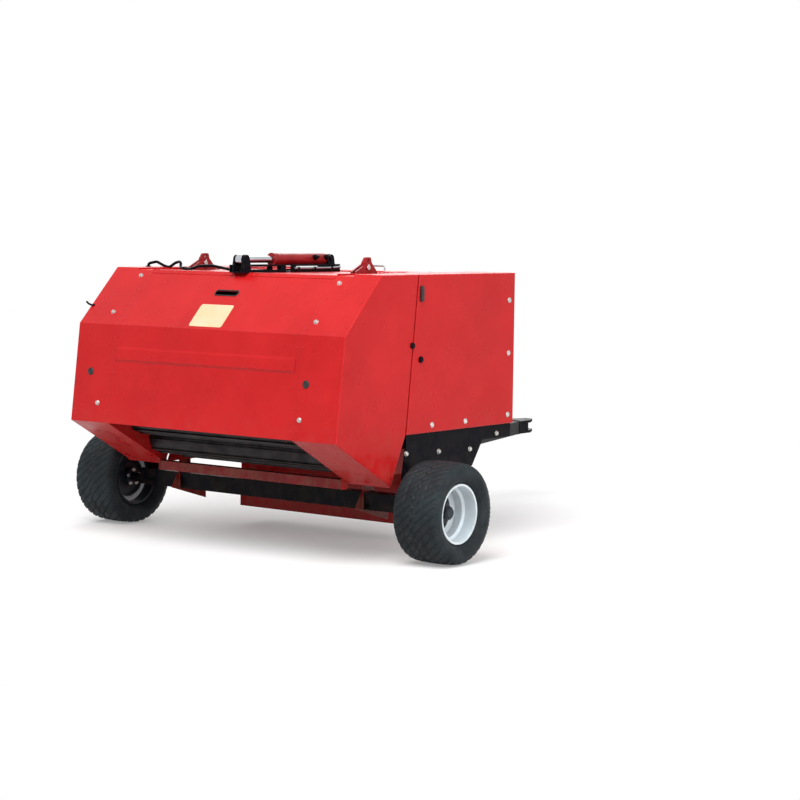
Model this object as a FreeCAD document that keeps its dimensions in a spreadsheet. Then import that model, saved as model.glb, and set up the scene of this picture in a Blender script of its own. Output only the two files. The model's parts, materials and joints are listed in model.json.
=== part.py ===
import FreeCAD, Part
import math
import os
from types import SimpleNamespace

import Sketcher

# A towed round baler with a fixed chamber of ribbed steel rollers.
# X runs forward to the hitch, Y to the machine's left and Z up. The ground is Z = 0.
# A "station" is a distance forward from the rearmost edge of the tailgate.
# Every size is in millimetres, and every angle in degrees.

SIZES = [
    # whole machine
    ("overall_length", 3120),
    ("body_width", 1875),
    ("body_length", 1555),
    ("body_top", 1480),
    ("cover_bottom", 650),
    ("plate", 6),
    ("skin", 4),
    ("cover_wall", 3),
    # bale chamber
    ("chamber_width", 1300),
    ("chamber_station", 575),
    ("chamber_height", 937),
    ("roller_circle", 435),
    ("roller_pitch", 25.8),
    ("first_gate_angle", 91),
    ("drum_radius", 77),
    ("drum_wall", 4),
    ("drum_disc", 10),
    ("spoke_hole_radius", 15),
    ("rib_height", 8),
    ("rib_width", 12),
    ("journal_radius", 25),
    ("journal_reach", 40),
    ("roller_end_gap", 5),
    ("running_fit", 0.06),
    ("overcut", 5),
    ("rib_root", 2),
    ("wrap_gap", 13),
    ("wrap_pitches", 3.5),
    ("wrap_lead_pitches", 0.85),
    ("hood_front_gap", 30),
    ("feed_rear_gap", 12),
    ("feed_front_gap", 50),
    ("feed_fall", 45),
    ("feed_front_fold", 30),
    ("feed_rear_fold", 40),
    # tailgate outline
    ("slope_top_station", 356),
    ("bend_station", 66),
    ("bend_height", 1177),
    ("foot_height", 645),
    ("lip_station", 431),
    ("lip_height", 404),
    ("toe_station", 451),
    ("toe_height", 387),
    ("seam_station", 572),
    ("seam_gap", 9),
    ("centre_drop", 10),
    ("bead_height", 1020),
    ("bead_width", 80),
    ("bead_depth", 5),
    ("bead_end_gap", 20),
    ("bead_bevel", 12),
    ("top_panel_lap", 10),
    ("margin_width", 175),
    ("cover_corner", 6),
    ("hand_slot_left", 93),
    ("hand_slot_right", -70),
    ("hand_slot_bottom", 1350),
    ("hand_slot_top", 1376),
    ("hand_slot_corner", 8),
    ("crossbar_size", 50),
    ("crossbar_bottom", 360),
    # tailgate hinge and its cylinder
    ("hinge_station", 672),
    ("hinge_height", 1508),
    ("hinge_inset", 70),
    ("hinge_pin_radius", 12),
    ("lug_thickness", 14),
    ("lug_radius", 26),
    ("lug_foot", 95),
    ("lug_horn", 54),
    ("lug_toe", 14),
    ("lug_neck", 46),
    ("horn_rear", 4),
    ("horn_front", 40),
    ("horn_corner", 12),
    ("horn_eye_radius", 9),
    ("lug_foot_half", 30),
    ("foot_plate", 6),
    ("foot_lap", 12),
    ("foot_margin", 10),
    ("foot_sink", 3),
    ("arm_thickness", 10),
    ("arm_radius", 24),
    ("arm_foot", 100),
    ("arm_toe", 10),
    ("arm_crown_angle", 127),
    ("foot_gap", 8),
    ("pin_head", 6),
    ("side_play", 2),
    ("latch_station", 618),
    ("latch_height", 1113),
    ("keeper_station", 692),
    ("keeper_height", 1038),
    ("latch_radius", 17),
    ("latch_cap_radius", 11),
    ("latch_step", 6),
    ("rod_pin_station", 345),
    ("barrel_pin_station", 1055),
    ("cylinder_height", 1540),
    ("cylinder_pin_radius", 12.5),
    ("barrel_radius", 31.5),
    ("barrel_bore", 25),
    ("barrel_length", 436),
    ("barrel_eye_reach", 32),
    ("barrel_neck_radius", 18),
    ("barrel_neck_root", 10),
    ("barrel_end", 20),
    ("gland_length", 36),
    ("gland_depth", 30),
    ("gland_proud", 4),
    ("piston_offset", 200),
    ("piston_length", 30),
    ("piston_play", 0.5),
    ("rod_radius", 19),
    ("eye_radius", 28),
    ("eye_width", 40),
    ("ear_thickness", 12),
    ("ear_radius", 26),
    ("ear_foot", 38),
    ("eye_gap", 5),
    ("channel_rear_station", 306),
    ("channel_front_station", 1115),
    ("channel_split", 22),
    ("channel_half_width", 51),
    ("channel_wall", 6),
    ("channel_height", 42),
    ("channel_slot_height", 18),
    ("channel_slot_end", 40),
    ("channel_slot_corner", 8.5),
    # lower chamber plates and the underframe
    ("chamber_plate_bottom", 400),
    ("pickup_bay_front", 1480),
    ("pickup_bay_rear", 1200),
    ("pickup_bay_top", 572),
    ("bay_front_rake", 40),
    ("bay_rear_rake", 50),
    ("toe_clearance", 17),
    ("rail_inset", 17.5),
    ("rail_width", 50),
    ("rail_height", 75),
    ("rail_station", 600),
    ("skirt_thickness", 8),
    ("skirt_front_station", 1290),
    ("skirt_bottom", 440),
    ("skirt_lead", 60),
    ("skirt_rake", 95),
    ("cross_beam_depth", 70),
    ("cross_beam_height", 90),
    ("stand_post", 50),
    ("stand_spread", 80),
    ("stand_plate", 10),
    ("drawbar_bottom", 430),
    # axle and wheels
    ("axle_station", 616),
    ("axle_size", 90),
    ("axle_bottom", 240),
    ("bracket_lap", 55),
    ("bracket_shoulder", 12),
    ("bracket_tip_station", 509),
    ("bracket_tip_height", 248),
    ("bracket_toe_station", 790),
    ("bracket_toe_bottom", 165),
    ("bracket_toe_top", 255),
    ("axle_overhang", 22.5),
    ("spindle_radius", 25),
    ("spindle_reach", 25),
    ("hub_radius", 52),
    ("hub_cap_radius", 34),
    ("wheel_gap", 67),
    ("tyre_diameter", 530),
    ("tyre_width", 285),
    ("rim_radius", 150),
    ("rim_width", 220),
    ("rim_wall", 6),
    ("rim_lip", 6),
    ("tyre_shoulder", 34),
    ("tyre_bead_play", 3),
    ("tyre_bead_rise", 8),
    ("tyre_bead_flare", 12),
    ("tyre_wall_low", 40),
    ("tyre_wall_middle", 62),
    ("tyre_wall_step", 4),
    ("tyre_wall_taper", 6),
    ("tyre_crown_drop", 5),
    ("tyre_crown_edge", 74),
    ("tyre_shoulder_drop", 13),
    ("tyre_shoulder_inset", 15),
    ("well_depth", 14),
    ("well_top", 38),
    ("well_bottom", 28),
    ("disc_root", 16),
    ("disc_dish", 34),
    ("disc_crown", 40),
    ("disc_nave", 32),
    ("disc_back", 10),
    ("disc_dish_inset", 34),
    ("disc_crown_offset", 26),
    ("hub_rear", 85),
    ("hub_bevel", 6),
    ("hub_cap_rise", 24),
    ("hub_cap_bevel", 8),
    ("hub_end_gap", 5),
    # drawbar, hitch and jack
    ("drawbar_root_offset", 400),
    ("drawbar_tip_offset", 45),
    ("drawbar_tip_station", 2900),
    ("drawbar_beam_width", 60),
    ("drawbar_beam_height", 80),
    ("hitch_half_width", 75),
    ("hitch_slot_station", 3000),
    ("hitch_pin_station", 3075),
    ("hitch_hole_radius", 13),
    ("hitch_ear", 16),
    ("jack_station", 2380),
    ("jack_offset", 265),
    ("jack_tube_radius", 35),
    ("jack_leg_radius", 28),
    ("jack_tube_bottom", 330),
    ("jack_tube_top", 780),
    ("jack_leg_top", 450),
    ("jack_foot_radius", 95),
    ("jack_foot_thickness", 8),
    ("jack_head_radius", 44),
    ("jack_head_height", 70),
    ("jack_head_step", 8),
    ("jack_head_bevel", 12),
    ("jack_collar", 20),
    ("jack_shaft_rise", 45),
    ("jack_play", 0.3),
    ("jack_foot_cone", 10),
    ("jack_bracket_half", 35),
    ("jack_bracket_height", 80),
    ("jack_bracket_rise", 140),
    ("jack_bracket_lap", 4),
    ("crank_radius", 8),
    ("crank_throw", 130),
    ("crank_margin", 2),
    ("crank_thickness", 12),
    ("crank_grip_radius", 13),
    ("crank_grip_length", 90),
    # drive
    ("gearbox_station", 1440),
    ("gearbox_height", 790),
    ("gearbox_length", 200),
    ("gearbox_width", 200),
    ("gearbox_depth", 230),
    ("gearbox_nose", 20),
    ("gearbox_nose_radius", 65),
    ("input_radius", 17.5),
    ("input_journal_radius", 22),
    ("input_reach", 110),
    ("input_bore_depth", 90),
    ("gearbox_corner", 22),
    ("gearbox_flange", 14),
    ("gearbox_cap_radius", 62),
    ("gearbox_cap_depth", 14),
    ("gearbox_rib", 12),
    ("gearbox_cap_step", 5),
    ("gearbox_cap_flange", 12),
    ("gearbox_rib_rise", 6),
    ("gearbox_rib_end", 30),
    ("shaft_end_gap", 5),
    ("shield_radius", 80),
    ("shield_length", 130),
    ("shield_wall", 4),
    ("guard_flange", 15),
    ("guard_lap", 5),
    ("guard_cone", 20),
    ("drive_tube_radius", 38),
    # twine box
    ("twine_box_rear", 1135),
    ("twine_box_front", 1545),
    ("twine_box_bottom", 1090),
    ("twine_box_gap", 50),
    ("twine_lid_radius", 7),
    ("twine_lid_gap", 8),
    ("lid_overhang", 8),
    ("lid_rear_overhang", 9),
    ("lid_skirt", 26),
    ("lid_side_start", 10),
    ("lid_bar_offset", 3),
    ("lid_bar_end_gap", 40),
    # pickup
    ("pickup_station", 1245),
    ("pickup_height", 270),
    ("pickup_gap", 40),
    ("pickup_pivot_station", 1085),
    ("pickup_pivot_height", 430),
    ("pickup_pivot_radius", 20),
    ("pickup_lobe", 32),
    ("pickup_lobe_tail", 60),
    ("pickup_depth", 170),
    ("pickup_rear_gap", 15),
    ("pickup_rear_rise", 80),
    ("pickup_fold", 20),
    ("pickup_fold_drop", 30),
    ("tine_reach", 195),
    ("tine_bar_circle", 95),
    ("tine_bar_radius", 14),
    ("tine_width", 8),
    ("tine_hook", 18),
    ("tine_tip", 6),
    ("tine_root", 20),
    ("tine_side_gap", 85),
    ("band_radius", 163),
    ("band_width", 44),
    ("band_thickness", 4),
    ("band_bar_width", 32),
    ("band_bar_thickness", 8),
    ("pickup_sheet", 4),
    ("pickup_tube", 40),
    ("reel_disc_radius", 115),
    ("reel_disc", 6),
    ("reel_gap", 20),
    ("reel_journal", 20),
]

# Corners of a pickup side plate, forward and up from the reel's axis.
PICKUP_PLATE = [(-40, 175), (60, 150), (150, 60), (165, -20), (120, -110), (40, -160)]
TINES_PER_BAR = 15
TINE_BARS = 4
RIBS_PER_ROLLER = 8
SPOKE_HOLES = 4
GATE_ROLLERS = 7
FRONT_ROLLERS = 4
SIDES = {"left": 1, "right": -1}
ALONG_Y = FreeCAD.Vector(0, 1, 0)

doc = FreeCAD.newDocument("RoundBaler")


class Size:
    """A number together with the spreadsheet expression that gives it."""

    def __init__(self, value, text):
        self.value = float(value)
        self.text = text

    def __add__(self, other):
        other = as_size(other)
        return Size(self.value + other.value, f"({self.text} + {other.text})")

    def __sub__(self, other):
        other = as_size(other)
        return Size(self.value - other.value, f"({self.text} - {other.text})")

    def __mul__(self, other):
        other = as_size(other)
        return Size(self.value * other.value, f"({self.text} * {other.text})")

    def __truediv__(self, other):
        other = as_size(other)
        return Size(self.value / other.value, f"({self.text} / {other.text})")

    def __neg__(self):
        return Size(-self.value, f"(0 - {self.text})")

    def __radd__(self, other):
        return as_size(other) + self

    def __rsub__(self, other):
        return as_size(other) - self

    def __rmul__(self, other):
        return as_size(other) * self


def as_size(number):
    if isinstance(number, Size):
        return number
    return Size(number, f"({float(number)!r})")


def cosine(angle):
    angle = as_size(angle)
    return Size(math.cos(math.radians(angle.value)), f"cos({angle.text} * 1 deg)")


def sine(angle):
    angle = as_size(angle)
    return Size(math.sin(math.radians(angle.value)), f"sin({angle.text} * 1 deg)")


def root(number):
    number = as_size(number)
    return Size(math.sqrt(number.value), f"sqrt({number.text})")


def make_sheet():
    sheet = doc.addObject("Spreadsheet::Sheet", "Dimensions")
    sizes = {}
    for row, (alias, value) in enumerate(SIZES, start=1):
        sheet.set(f"A{row}", alias)
        sheet.set(f"B{row}", str(value))
        sheet.setAlias(f"B{row}", alias)
        sizes[alias] = Size(value, f"Dimensions.{alias}")
    doc.recompute()
    return SimpleNamespace(**sizes)


d = make_sheet()


def station(size):
    """X of a station."""
    return size - d.overall_length / 2


def bind(item, path, size):
    item.setExpression(path, as_size(size).text)


def place(item, x=0, y=0, z=0):
    for path, size in (("x", x), ("y", y), ("z", z)):
        bind(item, f"Placement.Base.{path}", size)


def new_body(label):
    body = doc.addObject("PartDesign::Body", label)
    body.Label = label
    body.AllowCompound = True
    return body


def origin_item(body, role):
    return next(item for item in body.Origin.OriginFeatures if item.Role == role)


def draw_polygon(sketch, corners):
    corners = [(as_size(x), as_size(y)) for x, y in corners]
    first = sketch.GeometryCount
    count = len(corners)
    for index in range(count):
        x, y = corners[index]
        next_x, next_y = corners[(index + 1) % count]
        start = FreeCAD.Vector(x.value, y.value, 0)
        end = FreeCAD.Vector(next_x.value, next_y.value, 0)
        sketch.addGeometry(Part.LineSegment(start, end), False)
    for index in range(count):
        after = first + (index + 1) % count
        sketch.addConstraint(Sketcher.Constraint("Coincident", first + index, 2, after, 1))
    for index, (x, y) in enumerate(corners):
        for kind, size in (("DistanceX", x), ("DistanceY", y)):
            number = sketch.addConstraint(
                Sketcher.Constraint(kind, -1, 1, first + index, 1, size.value))
            bind(sketch, f"Constraints[{number}]", size)


def draw_circle(sketch, x, y, radius):
    x, y, radius = as_size(x), as_size(y), as_size(radius)
    centre = FreeCAD.Vector(x.value, y.value, 0)
    item = sketch.addGeometry(
        Part.Circle(centre, FreeCAD.Vector(0, 0, 1), radius.value), False)
    for kind, size in (("DistanceX", x), ("DistanceY", y)):
        number = sketch.addConstraint(Sketcher.Constraint(kind, -1, 1, item, 3, size.value))
        bind(sketch, f"Constraints[{number}]", size)
    number = sketch.addConstraint(Sketcher.Constraint("Radius", item, radius.value))
    bind(sketch, f"Constraints[{number}]", radius)


def new_sketch(body, role, offset, polygons, circles):
    """Sketch on an origin plane of the body, moved by offset along +X, +Y or +Z."""
    sketch = body.newObject("Sketcher::SketchObject", "Sketch")
    sketch.AttachmentSupport = (origin_item(body, role), [""])
    sketch.MapMode = "FlatFace"
    along_normal = as_size(offset)
    if role == "XZ_Plane":
        along_normal = -along_normal
    bind(sketch, "AttachmentOffset.Base.z", along_normal)
    for corners in polygons:
        draw_polygon(sketch, corners)
    for x, y, radius in circles:
        draw_circle(sketch, x, y, radius)
    return sketch


def prism(body, role, offset, thickness, polygons=(), circles=(), cut=False):
    """Pad, or pocket, of closed loops, centred on offset along the plane's normal."""
    sketch = new_sketch(body, role, offset, polygons, circles)
    kind = "PartDesign::Pocket" if cut else "PartDesign::Pad"
    feature = body.newObject(kind, "Cut" if cut else "Pad")
    feature.Profile = (sketch, [""])
    feature.SideType = "Symmetric"
    bind(feature, "Length", thickness)
    return feature


def turned(body, role, axis, polygon, angle=360, cut=False):
    """Revolution, or groove, of one loop about an axis of its sketch."""
    sketch = new_sketch(body, role, 0, [polygon], [])
    kind = "PartDesign::Groove" if cut else "PartDesign::Revolution"
    feature = body.newObject(kind, "Groove" if cut else "Turned")
    feature.Profile = (sketch, [""])
    feature.ReferenceAxis = (sketch, [axis])
    bind(feature, "Angle", angle)
    return feature


def around_axis(body, role, feature, count):
    pattern = body.newObject("PartDesign::PolarPattern", "Pattern")
    pattern.Originals = [feature]
    pattern.Axis = (origin_item(body, role), [""])
    pattern.Angle = 360
    pattern.Occurrences = count
    body.Tip = pattern
    return pattern


def rectangle(x0, x1, y0, y1):
    return [(x0, y0), (x1, y0), (x1, y1), (x0, y1)]


def block(body, x0, x1, y0, y1, z0, z1, cut=False):
    """Rectangular block between two corners."""
    centre = (as_size(z0) + z1) / 2
    return prism(body, "XY_Plane", centre, as_size(z1) - z0,
                 [rectangle(x0, x1, y0, y1)], cut=cut)


def hollow(body, feature, direction, wall):
    """Shell with the given wall, open on the face that looks along direction."""
    doc.recompute()
    faces = feature.Shape.Faces
    reach = [face.CenterOfMass.dot(direction) if is_facing(face, direction) else -math.inf
             for face in faces]
    name = f"Face{reach.index(max(reach)) + 1}"
    shell = body.newObject("PartDesign::Thickness", "Shell")
    shell.Base = (feature, [name])
    shell.Mode = "Skin"
    shell.Join = "Intersection"
    shell.Reversed = True
    bind(shell, "Value", wall)
    body.Tip = shell
    return shell


def soften(body, feature, radius, wanted):
    """Fillet of the feature's edges that the test picks."""
    doc.recompute()
    edges = feature.Shape.Edges
    names = [f"Edge{index + 1}" for index, edge in enumerate(edges) if wanted(edge)]
    fillet = body.newObject("PartDesign::Fillet", "Fillet")
    fillet.Base = (feature, names)
    bind(fillet, "Radius", radius)
    body.Tip = fillet
    return fillet


def runs_along(edge, axis):
    return is_straight(edge) and abs(edge.Curve.Direction.dot(axis)) > 0.999


def is_straight(edge):
    return edge.Curve.TypeId == "Part::GeomLine"


def lies_at(edge, axis, size):
    """True for an edge whose points all lie at one distance along an axis."""
    middle = sum(edge.ParameterRange) / 2
    points = [edge.valueAt(number) for number in (*edge.ParameterRange, middle)]
    return all(abs(point.dot(axis) - as_size(size).value) < 0.01 for point in points)


def is_facing(face, direction):
    middle = [sum(pair) / 2 for pair in (face.ParameterRange[:2], face.ParameterRange[2:])]
    return face.normalAt(*middle).dot(direction) > 0.99


# ---- shared places -------------------------------------------------------------

half_chamber = d.chamber_width / 2
plate_offset = half_chamber + d.plate / 2
half_body = d.body_width / 2
axle_height = d.tyre_diameter / 2
half_track = half_body + d.wheel_gap + d.tyre_width / 2
rail_offset = half_body - d.rail_inset - d.rail_width / 2
half_hinges = half_chamber - d.hinge_inset
twine_box_half = half_chamber - d.twine_box_gap
pickup_half = half_chamber - d.pickup_gap
tine_spacing = 2 * (pickup_half - d.tine_side_gap) / (TINES_PER_BAR - 1)
centre_top = d.body_top - d.centre_drop
gate_seam_top = d.hinge_station - d.seam_gap / 2
front_seam_top = d.hinge_station + d.seam_gap / 2
front_seam_low = d.seam_station + d.seam_gap

roller_angles = {}
for number in range(FRONT_ROLLERS):
    roller_angles[f"front_roller_{number + 1}"] = d.first_gate_angle - d.roller_pitch * (number + 1)
for number in range(GATE_ROLLERS):
    roller_angles[f"gate_roller_{number + 1}"] = d.first_gate_angle + d.roller_pitch * number
roller_angles["floor_roller"] = d.first_gate_angle + d.roller_pitch * GATE_ROLLERS


def roller_centre(label):
    angle = roller_angles[label]
    return (station(d.chamber_station) + d.roller_circle * cosine(angle),
            d.chamber_height + d.roller_circle * sine(angle))


def journal_holes(prefixes):
    """Bearing holes for the rollers whose names start with one of the prefixes."""
    labels = [label for label in roller_angles if label.startswith(prefixes)]
    return [(*roller_centre(label), d.journal_radius + d.running_fit) for label in labels]


def gate_outline():
    return [
        (station(d.slope_top_station), d.body_top),
        (station(d.bend_station), d.bend_height),
        (station(as_size(0)), d.foot_height),
        (station(d.lip_station), d.lip_height),
        (station(d.toe_station), d.toe_height),
        (station(d.seam_station), d.cover_bottom),
        (station(gate_seam_top), d.body_top),
    ]


# ---- underframe ----------------------------------------------------------------

def axle_beam():
    """Box beam with the wheel spindles let into its lower half."""
    body = new_body("axle_beam")
    middle = station(d.axle_station)
    half = d.axle_size / 2
    reach = half_body + d.axle_overhang
    block(body, middle - half, middle + half, -reach, reach, d.axle_bottom,
          d.axle_bottom + d.axle_size)
    prism(body, "XZ_Plane", 0, 2 * (half_track + d.spindle_reach),
          circles=[(middle, axle_height, d.spindle_radius)])


def axle_brackets():
    """Wedge-shaped plates that clasp the axle beam and hang from the chamber plates."""
    body = new_body("axle_brackets")
    middle = station(d.axle_station)
    rear, front = middle - d.axle_size / 2, middle + d.axle_size / 2
    beam_top = d.axle_bottom + d.axle_size
    top = d.chamber_plate_bottom + d.bracket_lap
    shoulder = beam_top + d.bracket_shoulder
    outline = [
        (rear, top),
        (rear, shoulder),
        (station(d.bracket_tip_station), d.bracket_tip_height),
        (station(d.bracket_toe_station), d.bracket_toe_bottom),
        (station(d.bracket_toe_station), d.bracket_toe_top),
        (front, shoulder),
        (front, top),
    ]
    window = rectangle(rear, front, d.axle_bottom, beam_top)
    for side in SIDES.values():
        prism(body, "XZ_Plane", side * (half_chamber + 3 * d.plate / 2), d.plate,
              [outline, window])


def side_frames():
    """Sill rails under the side covers, each with a skirt plate down to the axle."""
    body = new_body("side_frames")
    middle = station(d.axle_station)
    half = d.axle_size / 2
    rail_bottom = d.cover_bottom - d.rail_height
    skirt = [
        (station(d.rail_station), rail_bottom),
        (middle - half, d.skirt_bottom),
        (middle - half, d.axle_bottom + d.axle_size),
        (middle + half, d.axle_bottom + d.axle_size),
        (middle + half + d.skirt_lead, d.skirt_bottom),
        (station(d.skirt_front_station) - d.skirt_rake, d.skirt_bottom),
        (station(d.skirt_front_station), rail_bottom),
    ]
    for side in SIDES.values():
        offset = side * rail_offset
        block(body, station(d.rail_station), station(d.body_length),
              offset - d.rail_width / 2, offset + d.rail_width / 2,
              rail_bottom, d.cover_bottom)
        prism(body, "XZ_Plane", side * (rail_offset + d.rail_width / 2 - d.skirt_thickness / 2),
              d.skirt_thickness, [skirt])


def front_cross_beam():
    """Beam between the chamber plates, with the gearbox stand on it."""
    body = new_body("front_cross_beam")
    front = station(d.body_length)
    rear = front - d.cross_beam_depth
    top = d.drawbar_bottom + d.cross_beam_height
    stand_top = d.gearbox_height - d.gearbox_depth / 2
    block(body, rear, front, -half_chamber, half_chamber, d.drawbar_bottom, top)
    for side in SIDES.values():
        middle = side * d.stand_spread
        block(body, rear, rear + d.stand_post, middle - d.stand_post / 2,
              middle + d.stand_post / 2, top, stand_top)
    gearbox_rear = station(d.gearbox_station) - d.gearbox_length / 2
    block(body, gearbox_rear, front, -d.gearbox_width / 2, d.gearbox_width / 2,
          stand_top - d.stand_plate, stand_top)


def drawbar_beams():
    body = new_body("drawbar_beams")
    root_x = station(d.body_length)
    tip_x = station(d.drawbar_tip_station)
    half = d.drawbar_beam_width / 2
    for side in SIDES.values():
        root_y = side * d.drawbar_root_offset
        tip_y = side * d.drawbar_tip_offset
        plan = [(root_x, root_y - half), (tip_x, tip_y - half),
                (tip_x, tip_y + half), (root_x, root_y + half)]
        prism(body, "XY_Plane", d.drawbar_bottom + d.drawbar_beam_height / 2,
              d.drawbar_beam_height, [plan])


def hitch_clevis():
    """Two-eared clevis with a round nose about the hitch pin."""
    body = new_body("hitch_clevis")
    rear = station(d.drawbar_tip_station)
    tip = d.overall_length / 2
    pin = station(d.hitch_pin_station)
    half = d.hitch_half_width
    nose = tip - pin
    middle = d.drawbar_bottom + d.drawbar_beam_height / 2
    plan = [(rear, -half), (pin - nose, -half), (pin, -nose), (pin, nose),
            (pin - nose, half), (rear, half)]
    prism(body, "XY_Plane", middle, d.drawbar_beam_height, [plan])
    prism(body, "XY_Plane", middle, d.drawbar_beam_height, circles=[(pin, 0, nose)])
    block(body, station(d.hitch_slot_station), tip + d.overcut, -half, half,
          d.drawbar_bottom + d.hitch_ear,
          d.drawbar_bottom + d.drawbar_beam_height - d.hitch_ear, cut=True)
    prism(body, "XY_Plane", middle, d.drawbar_beam_height + 2 * d.overcut,
          circles=[(pin, 0, d.hitch_hole_radius)], cut=True)


def jack_tube():
    """Outer tube of the jack on its bracket, with a gear head and a crank on top."""
    body = new_body("jack_tube")
    length = d.jack_tube_top - d.jack_tube_bottom
    bore = d.jack_leg_radius + d.jack_play
    head = d.jack_head_radius
    head_low = length - d.jack_head_height
    roof = length - d.jack_head_step
    collar_top = length + d.jack_collar
    shaft_top = length + d.jack_shaft_rise
    shaft = d.crank_radius
    section = [(bore, 0), (d.jack_tube_radius, 0),
               (d.jack_tube_radius, head_low - d.jack_head_step), (head, head_low),
               (head, length - d.jack_head_bevel), (head - d.jack_head_bevel, length),
               (2 * shaft, length), (2 * shaft, collar_top), (shaft, collar_top),
               (shaft, shaft_top), (0, shaft_top), (0, roof), (bore, roof)]
    turned(body, "XZ_Plane", "V_Axis", section)
    side = shaft + d.crank_margin
    block(body, -side, d.crank_throw + side, -side, side,
          shaft_top - d.crank_thickness / 2, shaft_top + d.crank_thickness / 2)
    grip = d.crank_grip_length
    prism(body, "XY_Plane", shaft_top + grip / 2, grip,
          circles=[(d.crank_throw, 0, d.crank_grip_radius)])
    reach = d.jack_bracket_half
    near = -d.jack_leg_radius - d.jack_bracket_lap
    plan = [(along, drawbar_side_at(d.jack_station + along) - d.jack_offset)
            for along in (-reach, reach)]
    plan += [(reach, near), (-reach, near)]
    prism(body, "XY_Plane", d.jack_bracket_rise, d.jack_bracket_height, [plan])
    place(body, station(d.jack_station), d.jack_offset, d.jack_tube_bottom)


def drawbar_side_at(where):
    """Y of the left beam's outer face at a station."""
    share = (where - d.body_length) / (d.drawbar_tip_station - d.body_length)
    centre = d.drawbar_root_offset + share * (d.drawbar_tip_offset - d.drawbar_root_offset)
    return centre + d.drawbar_beam_width / 2


def jack_leg():
    body = new_body("jack_leg")
    section = [(0, 0), (d.jack_foot_radius, 0), (d.jack_foot_radius, d.jack_foot_thickness),
               (d.jack_leg_radius, d.jack_foot_thickness + d.jack_foot_cone),
               (d.jack_leg_radius, d.jack_leg_top), (0, d.jack_leg_top)]
    turned(body, "XZ_Plane", "V_Axis", section)
    place(body, station(d.jack_station), d.jack_offset, 0)


# ---- chamber and covers --------------------------------------------------------

def chamber_sides():
    """Front chamber plates, which carry the front rollers and reach down to the pickup."""
    body = new_body("chamber_sides")
    low = d.chamber_plate_bottom
    outline = [
        (station(front_seam_top), d.body_top),
        (station(d.body_length), d.body_top),
        (station(d.body_length), d.drawbar_bottom),
        (station(d.pickup_bay_front), d.drawbar_bottom),
        (station(d.pickup_bay_front) - d.bay_front_rake, d.pickup_bay_top),
        (station(d.pickup_bay_rear) + d.bay_rear_rake, d.pickup_bay_top),
        (station(d.pickup_bay_rear), low),
        (station(d.toe_station) + d.toe_clearance, low),
        (station(front_seam_low), d.cover_bottom),
    ]
    pivot = (station(d.pickup_pivot_station), d.pickup_pivot_height,
             d.pickup_pivot_radius + d.running_fit)
    for side in SIDES.values():
        prism(body, "XZ_Plane", side * plate_offset, d.plate, [outline],
              journal_holes(("front", "floor")) + [pivot])


def side_cover(name, side):
    body = new_body(f"side_cover_{name}")
    outline = [
        (station(front_seam_top), d.body_top),
        (station(front_seam_low), d.cover_bottom),
        (station(d.body_length), d.cover_bottom),
        (station(d.body_length), d.body_top),
    ]
    cover_shell(body, side, outline)
    cover_hollow(body, side, half_chamber + d.plate, outline)


def cover_shell(body, side, outline):
    """Block of a side cover, rounded along its outer edges."""
    inner = half_chamber + d.plate
    pad = prism(body, "XZ_Plane", side * (inner + half_body) / 2, half_body - inner, [outline])
    return soften(body, pad, d.cover_corner,
                  lambda edge: lies_at(edge, ALONG_Y, side * half_body))


def cover_hollow(body, side, start, outline):
    """Hollow in a side cover, from start outward, one wall inside the outline."""
    count = len(outline)
    inside = [mitre_inside(outline[index - 1], outline[index], outline[(index + 1) % count],
                           d.cover_wall) for index in range(count)]
    end = half_body - d.cover_wall
    prism(body, "XZ_Plane", side * (start + end) / 2, end - start, [inside], cut=True)


def front_wrap():
    """Rolled sheet close round the front rollers."""
    body = new_body("front_wrap")
    inside = d.roller_circle + d.drum_radius + d.rib_height + d.wrap_gap
    section = rectangle(inside, inside + d.skin, -half_chamber, half_chamber)
    turned(body, "XY_Plane", "V_Axis", section, angle=d.roller_pitch * d.wrap_pitches)
    start = d.first_gate_angle - d.roller_pitch * d.wrap_lead_pitches
    body.Placement = FreeCAD.Placement(
        FreeCAD.Vector(), FreeCAD.Rotation(FreeCAD.Vector(0, -1, 0), start.value))
    bind(body, "Placement.Rotation.Angle", start)
    place(body, station(d.chamber_station), 0, d.chamber_height)


def hood_top():
    body = new_body("hood_top")
    block(body, station(front_seam_top), station(d.twine_box_rear) - d.hood_front_gap,
          -half_chamber, half_chamber, centre_top - d.plate, centre_top)


def feed_floor():
    """Sheet that leads the crop from the pickup up to the floor roller."""
    body = new_body("feed_floor")
    rear_x, rear_z = roller_centre("floor_roller")
    rear_x = rear_x + d.drum_radius + d.rib_height + d.feed_rear_gap
    front_x = station(d.pickup_pivot_station) - d.feed_front_gap
    front_z = rear_z - d.feed_fall
    front_low = front_z - d.feed_front_fold
    rear_low = rear_z - d.feed_rear_fold
    outline = [(rear_x, rear_z), (front_x, front_z), (front_x, front_low),
               (front_x - d.skin, front_low), (front_x - d.skin, front_z - d.skin),
               (rear_x + d.skin, rear_z - d.skin), (rear_x + d.skin, rear_low),
               (rear_x, rear_low)]
    prism(body, "XZ_Plane", 0, d.chamber_width, [outline])


def twine_box():
    body = new_body("twine_box")
    pad = block(body, station(d.twine_box_rear), station(d.twine_box_front),
                -twine_box_half, twine_box_half,
                d.twine_box_bottom, centre_top - d.twine_lid_gap)
    hollow(body, pad, FreeCAD.Vector(0, 0, 1), d.cover_wall)


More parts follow.
